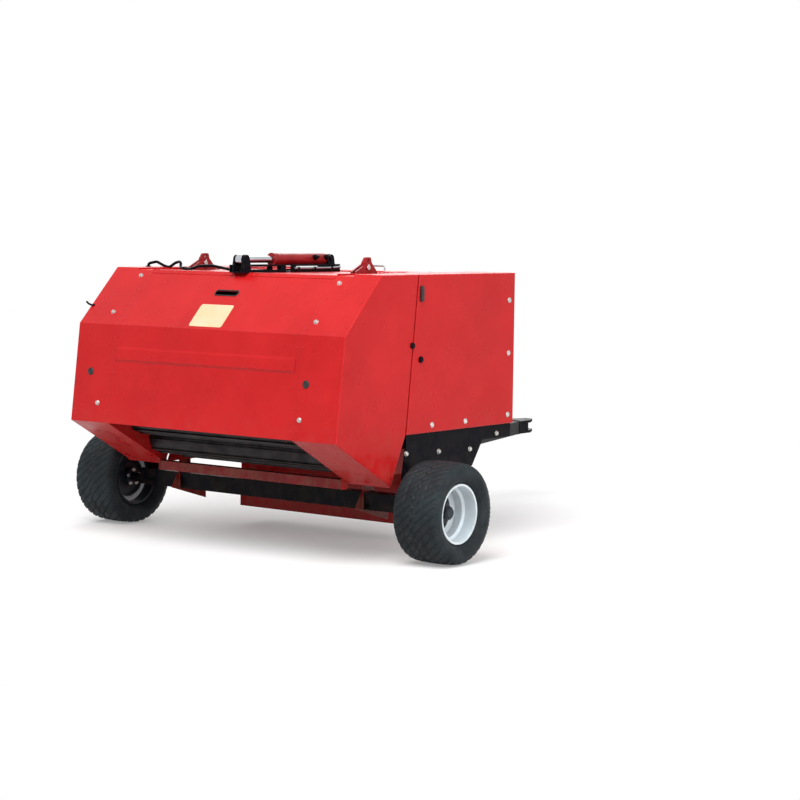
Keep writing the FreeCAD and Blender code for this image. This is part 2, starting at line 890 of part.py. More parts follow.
def twine_box_lid():
    """Lid with a folded skirt on three sides and a hinge bar behind."""
    body = new_body("twine_box_lid")
    rear = station(d.twine_box_rear) - d.lid_rear_overhang
    front = station(d.twine_box_front) + d.lid_overhang
    half = twine_box_half + d.lid_overhang
    top = centre_top
    low = top - d.lid_skirt
    wall = d.cover_wall
    block(body, rear, front, -half, half, top - d.skin, top)
    block(body, front - wall, front, -half, half, low, top)
    for side in SIDES.values():
        middle = side * (half - wall / 2)
        block(body, rear + d.lid_side_start, front, middle - wall / 2, middle + wall / 2,
              low, top)
    prism(body, "XZ_Plane", 0, 2 * (half - d.lid_bar_end_gap),
          circles=[(rear - d.lid_bar_offset, top, d.twine_lid_radius)])


# ---- rollers -------------------------------------------------------------------

def roller(label):
    """Ribbed drum on two journals, its end discs pierced by round holes."""
    body = new_body(label)
    half = half_chamber - d.roller_end_gap
    reach = half_chamber + d.plate + d.journal_reach
    inner = d.drum_radius - d.drum_wall
    section = [
        (0, -reach), (d.journal_radius, -reach), (d.journal_radius, -half),
        (d.drum_radius, -half), (d.drum_radius, half), (d.journal_radius, half),
        (d.journal_radius, reach), (0, reach), (0, half - d.drum_disc),
        (inner, half - d.drum_disc), (inner, -half + d.drum_disc), (0, -half + d.drum_disc),
    ]
    turned(body, "XY_Plane", "V_Axis", section)
    hole_circle = (d.journal_radius + inner) / 2
    hole = prism(body, "XZ_Plane", 0, 2 * (half + d.overcut),
                 circles=[(hole_circle, 0, d.spoke_hole_radius)], cut=True)
    around_axis(body, "Y_Axis", hole, SPOKE_HOLES)
    root_radius = d.drum_radius - d.rib_root
    crest_radius = d.drum_radius + d.rib_height
    rib = [(root_radius, -d.rib_width / 2), (root_radius, d.rib_width / 2),
           (crest_radius, d.rib_width / 4), (crest_radius, -d.rib_width / 4)]
    pad = prism(body, "XZ_Plane", 0, 2 * half, [rib])
    around_axis(body, "Y_Axis", pad, RIBS_PER_ROLLER)
    x, z = roller_centre(label)
    place(body, x, 0, z)


# ---- tailgate ------------------------------------------------------------------

def gate_sides():
    """Chamber plates of the tailgate, each with a toe that carries the crossbar."""
    body = new_body("gate_sides")
    rear, front, bottom, top = crossbar_box()
    outline = gate_outline()
    slope = (d.foot_height - d.lip_height) / d.lip_station
    toe = [(rear, d.foot_height - slope * (rear + d.overall_length / 2)), (rear, bottom),
           (front, bottom), (front, top)]
    outline = outline[:3] + toe + outline[5:]
    for side in SIDES.values():
        prism(body, "XZ_Plane", side * plate_offset, d.plate, [outline],
              journal_holes(("gate",)))


def crossbar_box():
    """Rear, front, bottom and top of the bar across the tailgate's lower edge."""
    front = station(d.toe_station) + 2
    return front - d.crossbar_size, front, d.crossbar_bottom, d.crossbar_bottom + d.crossbar_size


def gate_cover(name, side):
    """Side cover whose top is lower beside the centre panel than along its outer margin."""
    body = new_body(f"gate_cover_{name}")
    inner = half_chamber + d.plate
    step = half_body - d.margin_width
    outline = gate_outline()
    cover_shell(body, side, outline)
    prism(body, "XZ_Plane", side * (inner + step) / 2, step - inner,
          [rectangle(outline[1][0], outline[-1][0] + d.centre_drop, centre_top,
                     d.body_top + d.centre_drop)], cut=True)
    seam_run = (outline[-1][0] - outline[-2][0]) / (d.body_top - d.cover_bottom)
    lowered = [(outline[0][0] - d.centre_drop * slope_run(), centre_top), *outline[1:-1],
               (outline[-1][0] - d.centre_drop * seam_run, centre_top)]
    cover_hollow(body, side, inner, lowered)
    cover_hollow(body, side, step + d.cover_wall, outline)


def inward(start, end):
    """Unit vector square to a side-view line, to its left when looking from start to end."""
    run = end[0] - start[0]
    rise = end[1] - start[1]
    length = root(run * run + rise * rise)
    return -rise / length, run / length


def square_inside(start, end, at, thickness):
    """Inner corner of a sheet's square-cut end."""
    side = inward(start, end)
    return at[0] + side[0] * thickness, at[1] + side[1] * thickness


def mitre_inside(before, corner, after, thickness):
    """Inner corner where two sheets meet in a mitre."""
    first, second = inward(before, corner), inward(corner, after)
    spread = 1 + first[0] * second[0] + first[1] * second[1]
    return (corner[0] + (first[0] + second[0]) / spread * thickness,
            corner[1] + (first[1] + second[1]) / spread * thickness)


def slope_run():
    """Forward run of the upper slope for each millimetre of its rise."""
    return (d.slope_top_station - d.bend_station) / (d.body_top - d.bend_height)


def gate_upper_panel():
    """Sloping sheet with a hand slot through it."""
    body = new_body("gate_upper_panel")
    corners = gate_outline()
    top = (corners[0][0] - d.centre_drop * slope_run(), centre_top)
    bend, foot = corners[1], corners[2]
    prism(body, "XZ_Plane", 0, d.chamber_width,
          [[top, bend, mitre_inside(top, bend, foot, d.skin),
            square_inside(top, bend, top, d.skin)]])
    low, high = [bend[0] + (height - d.bend_height) * slope_run() for height in
                 (d.hand_slot_bottom, d.hand_slot_top)]
    corner = d.hand_slot_corner
    slot = [(low, d.hand_slot_right + corner), (low + corner, d.hand_slot_right),
            (high - corner, d.hand_slot_right), (high, d.hand_slot_right + corner),
            (high, d.hand_slot_left - corner), (high - corner, d.hand_slot_left),
            (low + corner, d.hand_slot_left), (low, d.hand_slot_left - corner)]
    prism(body, "XY_Plane", (d.hand_slot_bottom + d.hand_slot_top) / 2,
          d.hand_slot_top - d.hand_slot_bottom + 4 * d.skin, [slot], cut=True)


def gate_rear_panel():
    """Upright panel, with a wide pressed bead across it."""
    body = new_body("gate_rear_panel")
    slope_top, bend, foot = gate_outline()[:3]
    prism(body, "XZ_Plane", 0, d.chamber_width,
          [[bend, foot, square_inside(bend, foot, foot, d.skin),
            mitre_inside(slope_top, bend, foot, d.skin)]])
    lean = d.bend_station / (d.bend_height - d.foot_height)
    low = d.bead_height - d.bead_width / 2
    high = d.bead_height + d.bead_width / 2
    low_x = station(lean * (low - d.foot_height))
    high_x = station(lean * (high - d.foot_height))
    bead = [(low_x, low), (low_x - d.bead_depth, low + d.bead_bevel),
            (high_x - d.bead_depth, high - d.bead_bevel), (high_x, high)]
    prism(body, "XZ_Plane", 0, d.chamber_width - 2 * d.bead_end_gap, [bead])


def gate_top_panel():
    body = new_body("gate_top_panel")
    rear = station(d.slope_top_station) + d.top_panel_lap
    block(body, rear, station(gate_seam_top), -half_chamber, half_chamber,
          centre_top - d.plate, centre_top)


def gate_crossbar():
    body = new_body("gate_crossbar")
    rear, front, bottom, top = crossbar_box()
    block(body, rear, front, -half_chamber, half_chamber, bottom, top)


def hinge_lugs():
    """Lugs on the hood, each a web that carries the pin's boss and ends in a lifting eye."""
    body = new_body("hinge_lugs")
    x, z = station(d.hinge_station), d.hinge_height
    radius = d.lug_radius
    top = z + d.lug_horn
    web = [(x + d.foot_gap, centre_top), (x + d.lug_foot, centre_top),
           (x + d.lug_foot, centre_top + d.lug_toe), (x + d.lug_neck, z + radius),
           (x + d.horn_front, top), (x - d.horn_rear, top), (x - radius, z + radius),
           (x - radius, z), (x + d.foot_gap, z - radius / 2)]
    boss = d.lug_thickness + d.side_play
    holes = [(x, z, d.hinge_pin_radius + d.running_fit),
             (x + (d.horn_front - d.horn_rear) / 2, top - 2 * d.horn_eye_radius,
              d.horn_eye_radius)]
    for side in SIDES.values():
        web_pad = prism(body, "XZ_Plane", side * half_hinges, d.lug_thickness, [web])
    shoulder = (z + radius).value
    soften(body, web_pad, d.horn_corner, lambda edge: runs_along(edge, ALONG_Y)
           and edge.CenterOfMass.z > shoulder - 1)
    for side in SIDES.values():
        middle = side * half_hinges
        prism(body, "XZ_Plane", middle, boss, circles=[(x, z, radius)])
        block(body, x + d.foot_gap, x + d.lug_foot + d.foot_lap, middle - d.lug_foot_half,
              middle + d.lug_foot_half, centre_top, centre_top + d.foot_plate)
    for side in SIDES.values():
        prism(body, "XZ_Plane", side * half_hinges, 2 * boss, circles=holes, cut=True)


def gate_hinge_arms():
    """Forked arms of the tailgate on their foot plates, with the hinge pins."""
    body = new_body("gate_hinge_arms")
    x, z = station(d.hinge_station), d.hinge_height
    radius = d.arm_radius
    foot_top = centre_top + d.foot_plate
    low = foot_top - d.foot_sink
    crown = (x + radius * cosine(d.arm_crown_angle), z + radius * sine(d.arm_crown_angle))
    arm = [(x - d.arm_foot, low), (x - d.foot_gap, low), (x - d.foot_gap, z - radius / 2),
           (x, z), crown, (x - d.arm_foot, foot_top + d.arm_toe)]
    gap = d.lug_thickness / 2 + d.side_play
    half_foot = gap + d.arm_thickness + d.foot_margin
    for side in SIDES.values():
        middle = side * half_hinges
        block(body, x - d.arm_foot - d.foot_lap, x - d.foot_gap, middle - half_foot,
              middle + half_foot, centre_top, foot_top)
        for face in (-1, 1):
            offset = middle + face * (gap + d.arm_thickness / 2)
            prism(body, "XZ_Plane", offset, d.arm_thickness, [arm])
            prism(body, "XZ_Plane", offset, d.arm_thickness, circles=[(x, z, radius)])
        prism(body, "XZ_Plane", middle, 2 * (gap + d.arm_thickness + d.pin_head),
              circles=[(x, z, d.hinge_pin_radius)])


def gate_latches():
    body = new_body("gate_latches")
    stepped_bosses(body, station(d.latch_station), d.latch_height)


def latch_keepers():
    body = new_body("latch_keepers")
    stepped_bosses(body, station(d.keeper_station), d.keeper_height)


def stepped_bosses(body, x, z):
    """A round boss in two steps on each side cover."""
    step = d.latch_step
    for side in SIDES.values():
        prism(body, "XZ_Plane", side * (half_body + step / 2), step,
              circles=[(x, z, d.latch_radius)])
        prism(body, "XZ_Plane", side * (half_body + 3 * step / 2), step,
              circles=[(x, z, d.latch_cap_radius)])


# ---- tailgate cylinder ---------------------------------------------------------

def cylinder_channel(body, rear, front):
    """Open channel under the cylinder, with a long slot in each wall."""
    half = d.channel_half_width
    wall = d.channel_wall
    block(body, rear, front, -half, half, centre_top, centre_top + wall)
    for side in SIDES.values():
        middle = side * (half - wall / 2)
        block(body, rear, front, middle - wall / 2, middle + wall / 2, centre_top,
              centre_top + d.channel_height)
    low = centre_top + (d.channel_height + wall - d.channel_slot_height) / 2
    high = low + d.channel_slot_height
    slot = block(body, rear + d.channel_slot_end, front - d.channel_slot_end,
                 -half - d.overcut, half + d.overcut, low, high, cut=True)
    soften(body, slot, d.channel_slot_corner, lambda edge: runs_along(edge, ALONG_Y)
           and low.value - 1 < edge.CenterOfMass.z < high.value + 1)


def cylinder_ears(body, pin_station):
    """Two ears with round heads, either side of a cylinder eye."""
    x, z = station(pin_station), d.cylinder_height
    half_gap = d.eye_width / 2 + d.eye_gap
    foot = centre_top + d.channel_wall - d.foot_sink
    ear = [(x - d.ear_foot, foot), (x + d.ear_foot, foot), (x + d.ear_radius, z),
           (x - d.ear_radius, z)]
    for side in SIDES.values():
        offset = side * (half_gap + d.ear_thickness / 2)
        prism(body, "XZ_Plane", offset, d.ear_thickness, [ear])
        prism(body, "XZ_Plane", offset, d.ear_thickness, circles=[(x, z, d.ear_radius)])


def gate_cylinder_ears():
    """Channel and ears of the tailgate. The middle of their pin stays in the rod's eye."""
    body = new_body("gate_cylinder_ears")
    cylinder_channel(body, station(d.channel_rear_station),
                     station(d.hinge_station) - d.channel_split)
    cylinder_ears(body, d.rod_pin_station)


def cylinder_base():
    """Channel on the hood, with the ears and the pin that carry the barrel."""
    body = new_body("cylinder_base")
    cylinder_channel(body, station(d.hinge_station) + d.channel_split,
                     station(d.channel_front_station))
    cylinder_ears(body, d.barrel_pin_station)
    prism(body, "XZ_Plane", 0, d.eye_width + 2 * (d.eye_gap + d.ear_thickness + d.pin_head),
          circles=[(station(d.barrel_pin_station), d.cylinder_height, d.cylinder_pin_radius)])


def cylinder_barrel():
    """Barrel with its eye at X = 0; a proud gland ring closes it round the rod."""
    body = new_body("cylinder_barrel")
    front = -d.barrel_eye_reach
    rear = front - d.barrel_length
    gland = d.rod_radius + d.running_fit
    neck = d.barrel_neck_radius
    ring = d.barrel_radius + d.gland_proud
    section = [(-d.barrel_neck_root, 0), (-d.barrel_neck_root, neck), (front, neck),
               (front, d.barrel_radius), (rear + d.gland_length, d.barrel_radius),
               (rear + d.gland_length, ring), (rear, ring), (rear, gland),
               (rear + d.gland_depth, gland), (rear + d.gland_depth, d.barrel_bore),
               (front - d.barrel_end, d.barrel_bore), (front - d.barrel_end, 0)]
    turned(body, "XY_Plane", "H_Axis", section)
    prism(body, "XZ_Plane", 0, d.eye_width, circles=[(0, 0, d.eye_radius)])
    prism(body, "XZ_Plane", 0, d.eye_width + 2 * d.overcut,
          circles=[(0, 0, d.cylinder_pin_radius + d.running_fit)], cut=True)
    place(body, station(d.barrel_pin_station), 0, d.cylinder_height)


def cylinder_rod():
    """Rod with its piston and eye; the eye keeps its own length of the pin."""
    body = new_body("cylinder_rod")
    reach = d.barrel_pin_station - d.rod_pin_station
    gland = reach - d.barrel_eye_reach - d.barrel_length
    piston = gland + d.piston_offset
    piston_end = piston + d.piston_length
    piston_radius = d.barrel_bore - d.piston_play
    neck = d.eye_radius / 2
    section = [(neck, 0), (neck, d.rod_radius), (piston, d.rod_radius),
               (piston, piston_radius), (piston_end, piston_radius), (piston_end, 0)]
    turned(body, "XY_Plane", "H_Axis", section)
    prism(body, "XZ_Plane", 0, d.eye_width, circles=[(0, 0, d.eye_radius)])
    place(body, station(d.rod_pin_station), 0, d.cylinder_height)


# ---- drive ---------------------------------------------------------------------

def gearbox():
    """Rounded casting on a foot flange, with bearing caps, cross ribs and an input nose."""
    body = new_body("gearbox")
    x = station(d.gearbox_station)
    z = d.gearbox_height
    rear = x - d.gearbox_length / 2
    front = x + d.gearbox_length / 2
    half_depth = d.gearbox_depth / 2
    half_width = d.gearbox_width / 2
    case = block(body, rear, front, -half_width, half_width, z - half_depth, z + half_depth)
    soften(body, case, d.gearbox_corner, is_straight)
    block(body, rear, front, -half_width, half_width, z - half_depth,
          z - half_depth + d.gearbox_flange)
    prism(body, "XZ_Plane", 0, d.gearbox_width + 2 * d.gearbox_cap_depth,
          circles=[(x, z, d.gearbox_cap_radius)])
    prism(body, "XZ_Plane", 0, d.gearbox_width + 2 * (d.gearbox_cap_depth - d.gearbox_cap_step),
          circles=[(x, z, d.gearbox_cap_radius + d.gearbox_cap_flange)])
    rib = d.gearbox_rib
    rib_half = half_width - d.gearbox_rib_end
    for height in (z - half_depth / 2, z + half_depth / 2):
        block(body, rear - d.gearbox_rib_rise, front + d.gearbox_rib_rise, -rib_half, rib_half,
              height - rib / 2, height + rib / 2)
    prism(body, "YZ_Plane", front + d.gearbox_nose / 2, d.gearbox_nose,
          circles=[(0, z, d.gearbox_nose_radius)])
    prism(body, "YZ_Plane", front + d.gearbox_nose - d.input_bore_depth / 2,
          d.input_bore_depth,
          circles=[(0, z, d.input_journal_radius + d.running_fit)], cut=True)


def drive_tube():
    """Guard tube of the cross shaft, from the gearbox to the left chamber plate."""
    body = new_body("drive_tube")
    start = d.gearbox_width / 2 + d.gearbox_cap_depth
    prism(body, "XZ_Plane", (start + half_chamber) / 2, half_chamber - start,
          circles=[(station(d.gearbox_station), d.gearbox_height, d.drive_tube_radius)])


def pto_shaft():
    """Shaft with a thicker journal inside the gearbox and a splined end of input_radius."""
    body = new_body("pto_shaft")
    nose = station(d.gearbox_station) + d.gearbox_length / 2 + d.gearbox_nose
    rear = nose - d.input_bore_depth + d.shaft_end_gap
    prism(body, "YZ_Plane", (rear + nose) / 2, nose - rear,
          circles=[(0, d.gearbox_height, d.input_journal_radius)])
    prism(body, "YZ_Plane", nose + d.input_reach / 2, d.input_reach,
          circles=[(0, d.gearbox_height, d.input_radius)])


def pto_guard():
    """Bell-shaped guard over the input shaft, bolted to the gearbox's nose by its flange."""
    body = new_body("pto_guard")
    rear = station(d.gearbox_station) + d.gearbox_length / 2 + d.gearbox_nose
    wall = d.shield_wall
    inner = d.gearbox_nose_radius - d.guard_flange
    outer = d.gearbox_nose_radius + d.guard_lap
    cone = d.guard_cone
    section = [(0, inner), (0, outer), (cone, d.shield_radius),
               (d.shield_length, d.shield_radius), (d.shield_length, d.shield_radius - wall),
               (cone + wall / 2, d.shield_radius - wall), (wall, outer - wall / 2),
               (wall, inner)]
    turned(body, "XY_Plane", "H_Axis", section)
    place(body, rear, 0, d.gearbox_height)


# ---- pickup --------------------------------------------------------------------

def pickup_frame():
    """Side plates that hang on the chamber plates and carry the reel, with a tube behind."""
    body = new_body("pickup_frame")
    x, z = station(d.pickup_station), d.pickup_height
    pivot_x, pivot_z = station(d.pickup_pivot_station), d.pickup_pivot_height
    lobe = d.pickup_lobe
    rear = x - d.tine_reach - d.pickup_rear_gap
    bottom = z - d.pickup_depth
    outline = [(pivot_x - lobe, pivot_z), (pivot_x, pivot_z + lobe)]
    outline += [(x + along, z + up) for along, up in PICKUP_PLATE]
    outline += [(rear + 4 * d.pickup_tube, bottom), (rear, bottom),
                (rear, bottom + d.pickup_rear_rise), (pivot_x - lobe, pivot_z - d.pickup_lobe_tail)]
    inner = pickup_half - d.plate
    outer = half_chamber + d.plate
    for side in SIDES.values():
        prism(body, "XZ_Plane", side * (pickup_half - d.plate / 2), d.plate, [outline],
              [(x, z, d.journal_radius + d.running_fit)])
        prism(body, "XZ_Plane", side * (inner + outer) / 2, outer - inner,
              circles=[(pivot_x, pivot_z, d.pickup_pivot_radius)])
    tube_top = bottom + d.pickup_tube
    sheet_top = pivot_z - d.pickup_fold_drop
    block(body, rear, rear + d.pickup_tube, -inner, inner, bottom, tube_top)
    block(body, rear, rear + d.pickup_sheet, -inner, inner, tube_top, sheet_top)
    block(body, rear, rear + d.pickup_fold, -inner, inner, sheet_top - d.pickup_sheet, sheet_top)


def pickup_bands():
    """Stripper bands round the front of the reel, joined behind it by a flat bar."""
    body = new_body("pickup_bands")
    inside = d.band_radius - d.band_thickness
    half = d.band_width / 2
    rear = -(d.tine_reach + d.pickup_rear_gap - d.pickup_tube)
    first = -tine_spacing * (TINES_PER_BAR - 1) / 2 - tine_spacing / 2
    sketch = new_sketch(body, "XY_Plane", 0,
                        [rectangle(inside, d.band_radius, first - half, first + half)], [])
    ring = body.newObject("PartDesign::Revolution", "Ring")
    ring.Profile = (sketch, [""])
    ring.ReferenceAxis = (sketch, ["V_Axis"])
    ring.Midplane = True
    ring.Angle = 180
    legs = [prism(body, "XZ_Plane", first, d.band_width, [rectangle(rear, 0, inside, d.band_radius)]),
            prism(body, "XZ_Plane", first, d.band_width,
                  [rectangle(rear, 0, -d.band_radius, -inside)])]
    row = body.newObject("PartDesign::LinearPattern", "Row")
    row.Originals = [ring, *legs]
    row.Direction = (origin_item(body, "Y_Axis"), [""])
    row.Mode = "Spacing"
    bind(row, "Offset", tine_spacing)
    row.Occurrences = TINES_PER_BAR + 1
    body.Tip = row
    block(body, rear, rear + d.band_bar_width, first - half, -first + half,
          inside - d.band_bar_thickness, inside)
    place(body, station(d.pickup_station), 0, d.pickup_height)


def pickup_reel():
    body = new_body("pickup_reel")
    half = pickup_half - d.reel_gap
    reach = pickup_half + d.reel_journal
    inside = half - d.reel_disc
    section = [(0, -reach), (d.journal_radius, -reach), (d.journal_radius, -half),
               (d.reel_disc_radius, -half), (d.reel_disc_radius, -inside),
               (d.journal_radius, -inside), (d.journal_radius, inside),
               (d.reel_disc_radius, inside), (d.reel_disc_radius, half),
               (d.journal_radius, half), (d.journal_radius, reach), (0, reach)]
    turned(body, "XY_Plane", "V_Axis", section)
    bar = prism(body, "XZ_Plane", 0, half + inside,
                circles=[(d.tine_bar_circle, 0, d.tine_bar_radius)])
    around_axis(body, "Y_Axis", bar, TINE_BARS)
    tine = [(d.tine_bar_circle, -d.tine_width / 2), (d.tine_reach, -d.tine_hook),
            (d.tine_reach, d.tine_tip - d.tine_hook),
            (d.tine_bar_circle + d.tine_root, d.tine_width / 2),
            (d.tine_bar_circle, d.tine_width / 2)]
    first = -tine_spacing * (TINES_PER_BAR - 1) / 2
    tines = prism(body, "XZ_Plane", first, d.tine_width, [tine])
    row = body.newObject("PartDesign::LinearPattern", "Row")
    row.Direction = (origin_item(body, "Y_Axis"), [""])
    row.Mode = "Spacing"
    bind(row, "Offset", tine_spacing)
    row.Occurrences = TINES_PER_BAR
    ring = body.newObject("PartDesign::PolarPattern", "Ring")
    ring.Axis = (origin_item(body, "Y_Axis"), [""])
    ring.Angle = 360
    ring.Occurrences = TINE_BARS
    comb = body.newObject("PartDesign::MultiTransform", "Comb")
    comb.Originals = [tines]
    comb.Transformations = [row, ring]
    body.Tip = comb
    place(body, station(d.pickup_station), 0, d.pickup_height)


# ---- wheels --------------------------------------------------------------------

def tyre(name, side):
    """Wide low tyre with rounded shoulders and bulging walls."""
    body = new_body(f"tyre_{name}")
    outer = d.tyre_diameter / 2
    half = d.tyre_width / 2
    bead = d.rim_width / 2 - d.rim_lip - d.tyre_bead_play
    seat = d.rim_radius
    profile = [(seat, bead), (seat + d.tyre_bead_rise, bead),
               (seat + d.tyre_bead_flare, bead + d.tyre_bead_rise),
               (seat + d.tyre_wall_low, half - d.tyre_wall_step),
               (seat + d.tyre_wall_middle, half),
               (outer - d.tyre_shoulder, half - d.tyre_wall_taper),
               (outer - d.tyre_shoulder_drop, half - d.tyre_shoulder_inset),
               (outer - d.tyre_crown_drop, half - d.tyre_shoulder),
               (outer, half - d.tyre_crown_edge)]
    section = profile + [(radius, -along) for radius, along in reversed(profile)]
    turned(body, "XY_Plane", "V_Axis", section)
    place(body, station(d.axle_station), side * half_track, axle_height)


def rim(name, side):
    """Drop-centre rim on a dished disc, with the capped hub that turns on the spindle."""
    body = new_body(f"rim_{name}")
    seat = d.rim_radius
    wall = d.rim_wall
    lip = d.rim_lip
    half = d.rim_width / 2
    flank = half - lip - wall / 3
    well = seat - d.well_depth
    floor = well - wall
    turn = wall / 2
    outside = [(seat + lip, -half), (seat + lip, -half + lip), (seat, -flank),
               (seat, -d.well_top), (well, -d.well_bottom), (well, d.well_bottom),
               (seat, d.well_top), (seat, flank), (seat + lip, half - lip),
               (seat + lip, half), (seat - wall, half), (seat - wall, d.well_top + turn),
               (floor, d.well_bottom + turn)]
    hub = d.hub_radius
    crown = hub + d.disc_crown_offset
    dish = seat - d.disc_dish_inset
    disc = [(floor, -d.disc_root), (dish, -d.disc_dish), (crown, -d.disc_crown),
            (hub, -d.disc_nave)]
    back = [(crown, -d.disc_crown - d.disc_back), (dish, -d.disc_dish - d.disc_back),
            (floor, -d.well_bottom - turn), (seat - wall, -d.well_top - turn),
            (seat - wall, -half)]
    section = outside + disc + hub_section() + back
    section = [(radius, side * as_size(along)) for radius, along in section]
    turned(body, "XY_Plane", "V_Axis", section)
    place(body, station(d.axle_station), side * half_track, axle_height)


def hub_section():
    """Radii and places along the axle of the hub, from its capped end to its back."""
    hub = d.hub_radius
    bevel = d.hub_bevel
    cap = d.hub_cap_radius
    blind = d.spindle_reach + d.hub_end_gap
    cap_end = blind + d.hub_cap_rise
    bore = d.spindle_radius + d.running_fit
    return [(hub, blind - 2 * bevel), (hub - bevel, blind - bevel), (cap, blind - bevel),
            (cap, cap_end - d.hub_cap_bevel), (cap - d.hub_cap_bevel, cap_end), (0, cap_end),
            (0, blind), (bore, blind), (bore, -d.hub_rear), (hub, -d.hub_rear),
            (hub, -d.disc_crown - d.disc_back)]


# ---- build and write -----------------------------------------------------------

def build():
    axle_beam()
    axle_brackets()
    side_frames()
    front_cross_beam()
    drawbar_beams()
    hitch_clevis()
    jack_tube()
    jack_leg()
    chamber_sides()
    front_wrap()
    hood_top()
    feed_floor()
    twine_box()
    twine_box_lid()
    for label in roller_angles:
        roller(label)
    gate_sides()
    gate_upper_panel()
    gate_rear_panel()
    gate_top_panel()
    gate_crossbar()
    hinge_lugs()
    gate_hinge_arms()
    gate_latches()
    latch_keepers()
    gate_cylinder_ears()
    cylinder_base()
    cylinder_barrel()
    cylinder_rod()
    gearbox()
    drive_tube()
    pto_shaft()
    pto_guard()
    pickup_frame()
    pickup_bands()
    pickup_reel()
    for name, side in SIDES.items():
        side_cover(name, side)
        gate_cover(name, side)
        tyre(name, side)
        rim(name, side)
    doc.recompute()


def check_and_write():
    """Refuse a failed feature or an invalid shape, then write one STEP per sub-part."""
    for item in doc.Objects:
        if {"Invalid", "Error"} & set(item.State):
            raise RuntimeError(f"{item.Label} failed: {item.State}")
    bodies = [item for item in doc.Objects if item.TypeId == "PartDesign::Body"]
    for body in bodies:
        if body.Shape.isNull() or not body.Shape.isValid():
            raise RuntimeError(f"{body.Label} has no valid shape")
    os.makedirs("parts", exist_ok=True)
    for body in bodies:
        body.Shape.exportStep(f"parts/{body.Label}.step")
    print(len(bodies), "sub-parts written")


build()
check_and_write()
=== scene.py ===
import json
import math
import random

import bmesh
import bpy
from mathutils import Matrix, Vector
from mathutils.bvhtree import BVHTree


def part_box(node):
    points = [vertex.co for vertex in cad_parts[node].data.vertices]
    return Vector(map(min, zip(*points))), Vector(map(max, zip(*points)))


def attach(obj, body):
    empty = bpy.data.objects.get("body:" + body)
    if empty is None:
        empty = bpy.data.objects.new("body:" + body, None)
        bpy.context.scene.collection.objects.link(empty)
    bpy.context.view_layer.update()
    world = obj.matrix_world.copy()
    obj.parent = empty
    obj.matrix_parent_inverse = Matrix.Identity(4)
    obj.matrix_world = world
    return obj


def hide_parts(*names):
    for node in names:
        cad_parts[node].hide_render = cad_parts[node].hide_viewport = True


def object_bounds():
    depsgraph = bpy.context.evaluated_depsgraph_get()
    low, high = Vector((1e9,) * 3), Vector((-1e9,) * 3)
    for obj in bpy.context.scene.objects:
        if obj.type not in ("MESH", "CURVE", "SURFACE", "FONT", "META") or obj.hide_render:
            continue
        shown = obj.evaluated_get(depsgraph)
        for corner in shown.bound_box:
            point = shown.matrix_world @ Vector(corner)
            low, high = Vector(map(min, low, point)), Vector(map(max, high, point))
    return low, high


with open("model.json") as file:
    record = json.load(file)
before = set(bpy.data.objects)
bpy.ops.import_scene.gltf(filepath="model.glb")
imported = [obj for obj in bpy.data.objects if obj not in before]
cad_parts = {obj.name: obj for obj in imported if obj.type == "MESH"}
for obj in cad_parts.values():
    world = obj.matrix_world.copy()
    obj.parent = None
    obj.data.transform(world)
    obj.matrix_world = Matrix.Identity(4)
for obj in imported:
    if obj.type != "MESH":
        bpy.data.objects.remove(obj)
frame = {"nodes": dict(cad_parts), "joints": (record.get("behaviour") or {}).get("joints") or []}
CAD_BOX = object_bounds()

random.seed(11)
scene = bpy.context.scene
NODES = frame["nodes"]
MM = 0.001
X, Y, Z = Vector((1, 0, 0)), Vector((0, 1, 0)), Vector((0, 0, 1))
SIDES = {"left": 1, "right": -1}
SIGNS = tuple(SIDES.values())


def joint_place(name):
    return Vector(next(joint["pos_m"] for joint in frame["joints"] if joint["name"] == name))


AXLE = joint_place("wheel_left_spin")
HINGE = joint_place("tailgate_hinge")
BARREL_PIN = joint_place("cylinder_swing")
REEL = joint_place("pickup_reel_spin")
INPUT_AXIS = joint_place("pto_spin")
LID_HINGE = joint_place("twine_lid_hinge")
REAR = CAD_BOX[0].x


# ---- node material helpers ----

class Tree:
    """Short calls that add nodes to a node tree and link them."""

    def __init__(self, tree):
        self.tree = tree

    def feed(self, socket, value):
        if isinstance(value, bpy.types.NodeSocket):
            self.tree.links.new(value, socket)
        else:
            socket.default_value = value

    def node(self, kind, **inputs):
        item = self.tree.nodes.new("ShaderNode" + kind)
        for key, value in inputs.items():
            self.feed(item.inputs[key.replace("_", " ")], value)
        return item

    def operate(self, kind, operation, values):
        item = self.node(kind)
        item.operation = operation
        for socket, value in zip(item.inputs, values):
            self.feed(socket, value)
        return item

    def math(self, operation, *values):
        """Arithmetic; a product or a sum is clamped to 0..1."""
        item = self.operate("Math", operation, values)
        item.use_clamp = operation in ("MULTIPLY", "ADD")
        return item.outputs[0]

    def vector(self, operation, *values):
        item = self.operate("VectorMath", operation, values)
        return item.outputs["Vector" if operation == "MULTIPLY" else "Value"]

    def part(self, vector, axis):
        return self.node("SeparateXYZ", Vector=vector).outputs[axis]

    def ramp(self, factor, low, high, start=0.0, end=1.0):
        """Map factor from low..high to start..end, clamped."""
        item = self.node("MapRange", Value=factor, From_Min=low, From_Max=high, To_Min=start, To_Max=end)
        return item.outputs["Result"]

    def shown_rays(self):
        """1 for rays that show a surface in the picture, 0 for rays that carry its light."""
        path = self.node("LightPath").outputs
        mirrored = self.math("MAXIMUM", path["Is Camera Ray"], path["Is Glossy Ray"])
        return self.math("MAXIMUM", mirrored, path["Is Transmission Ray"])


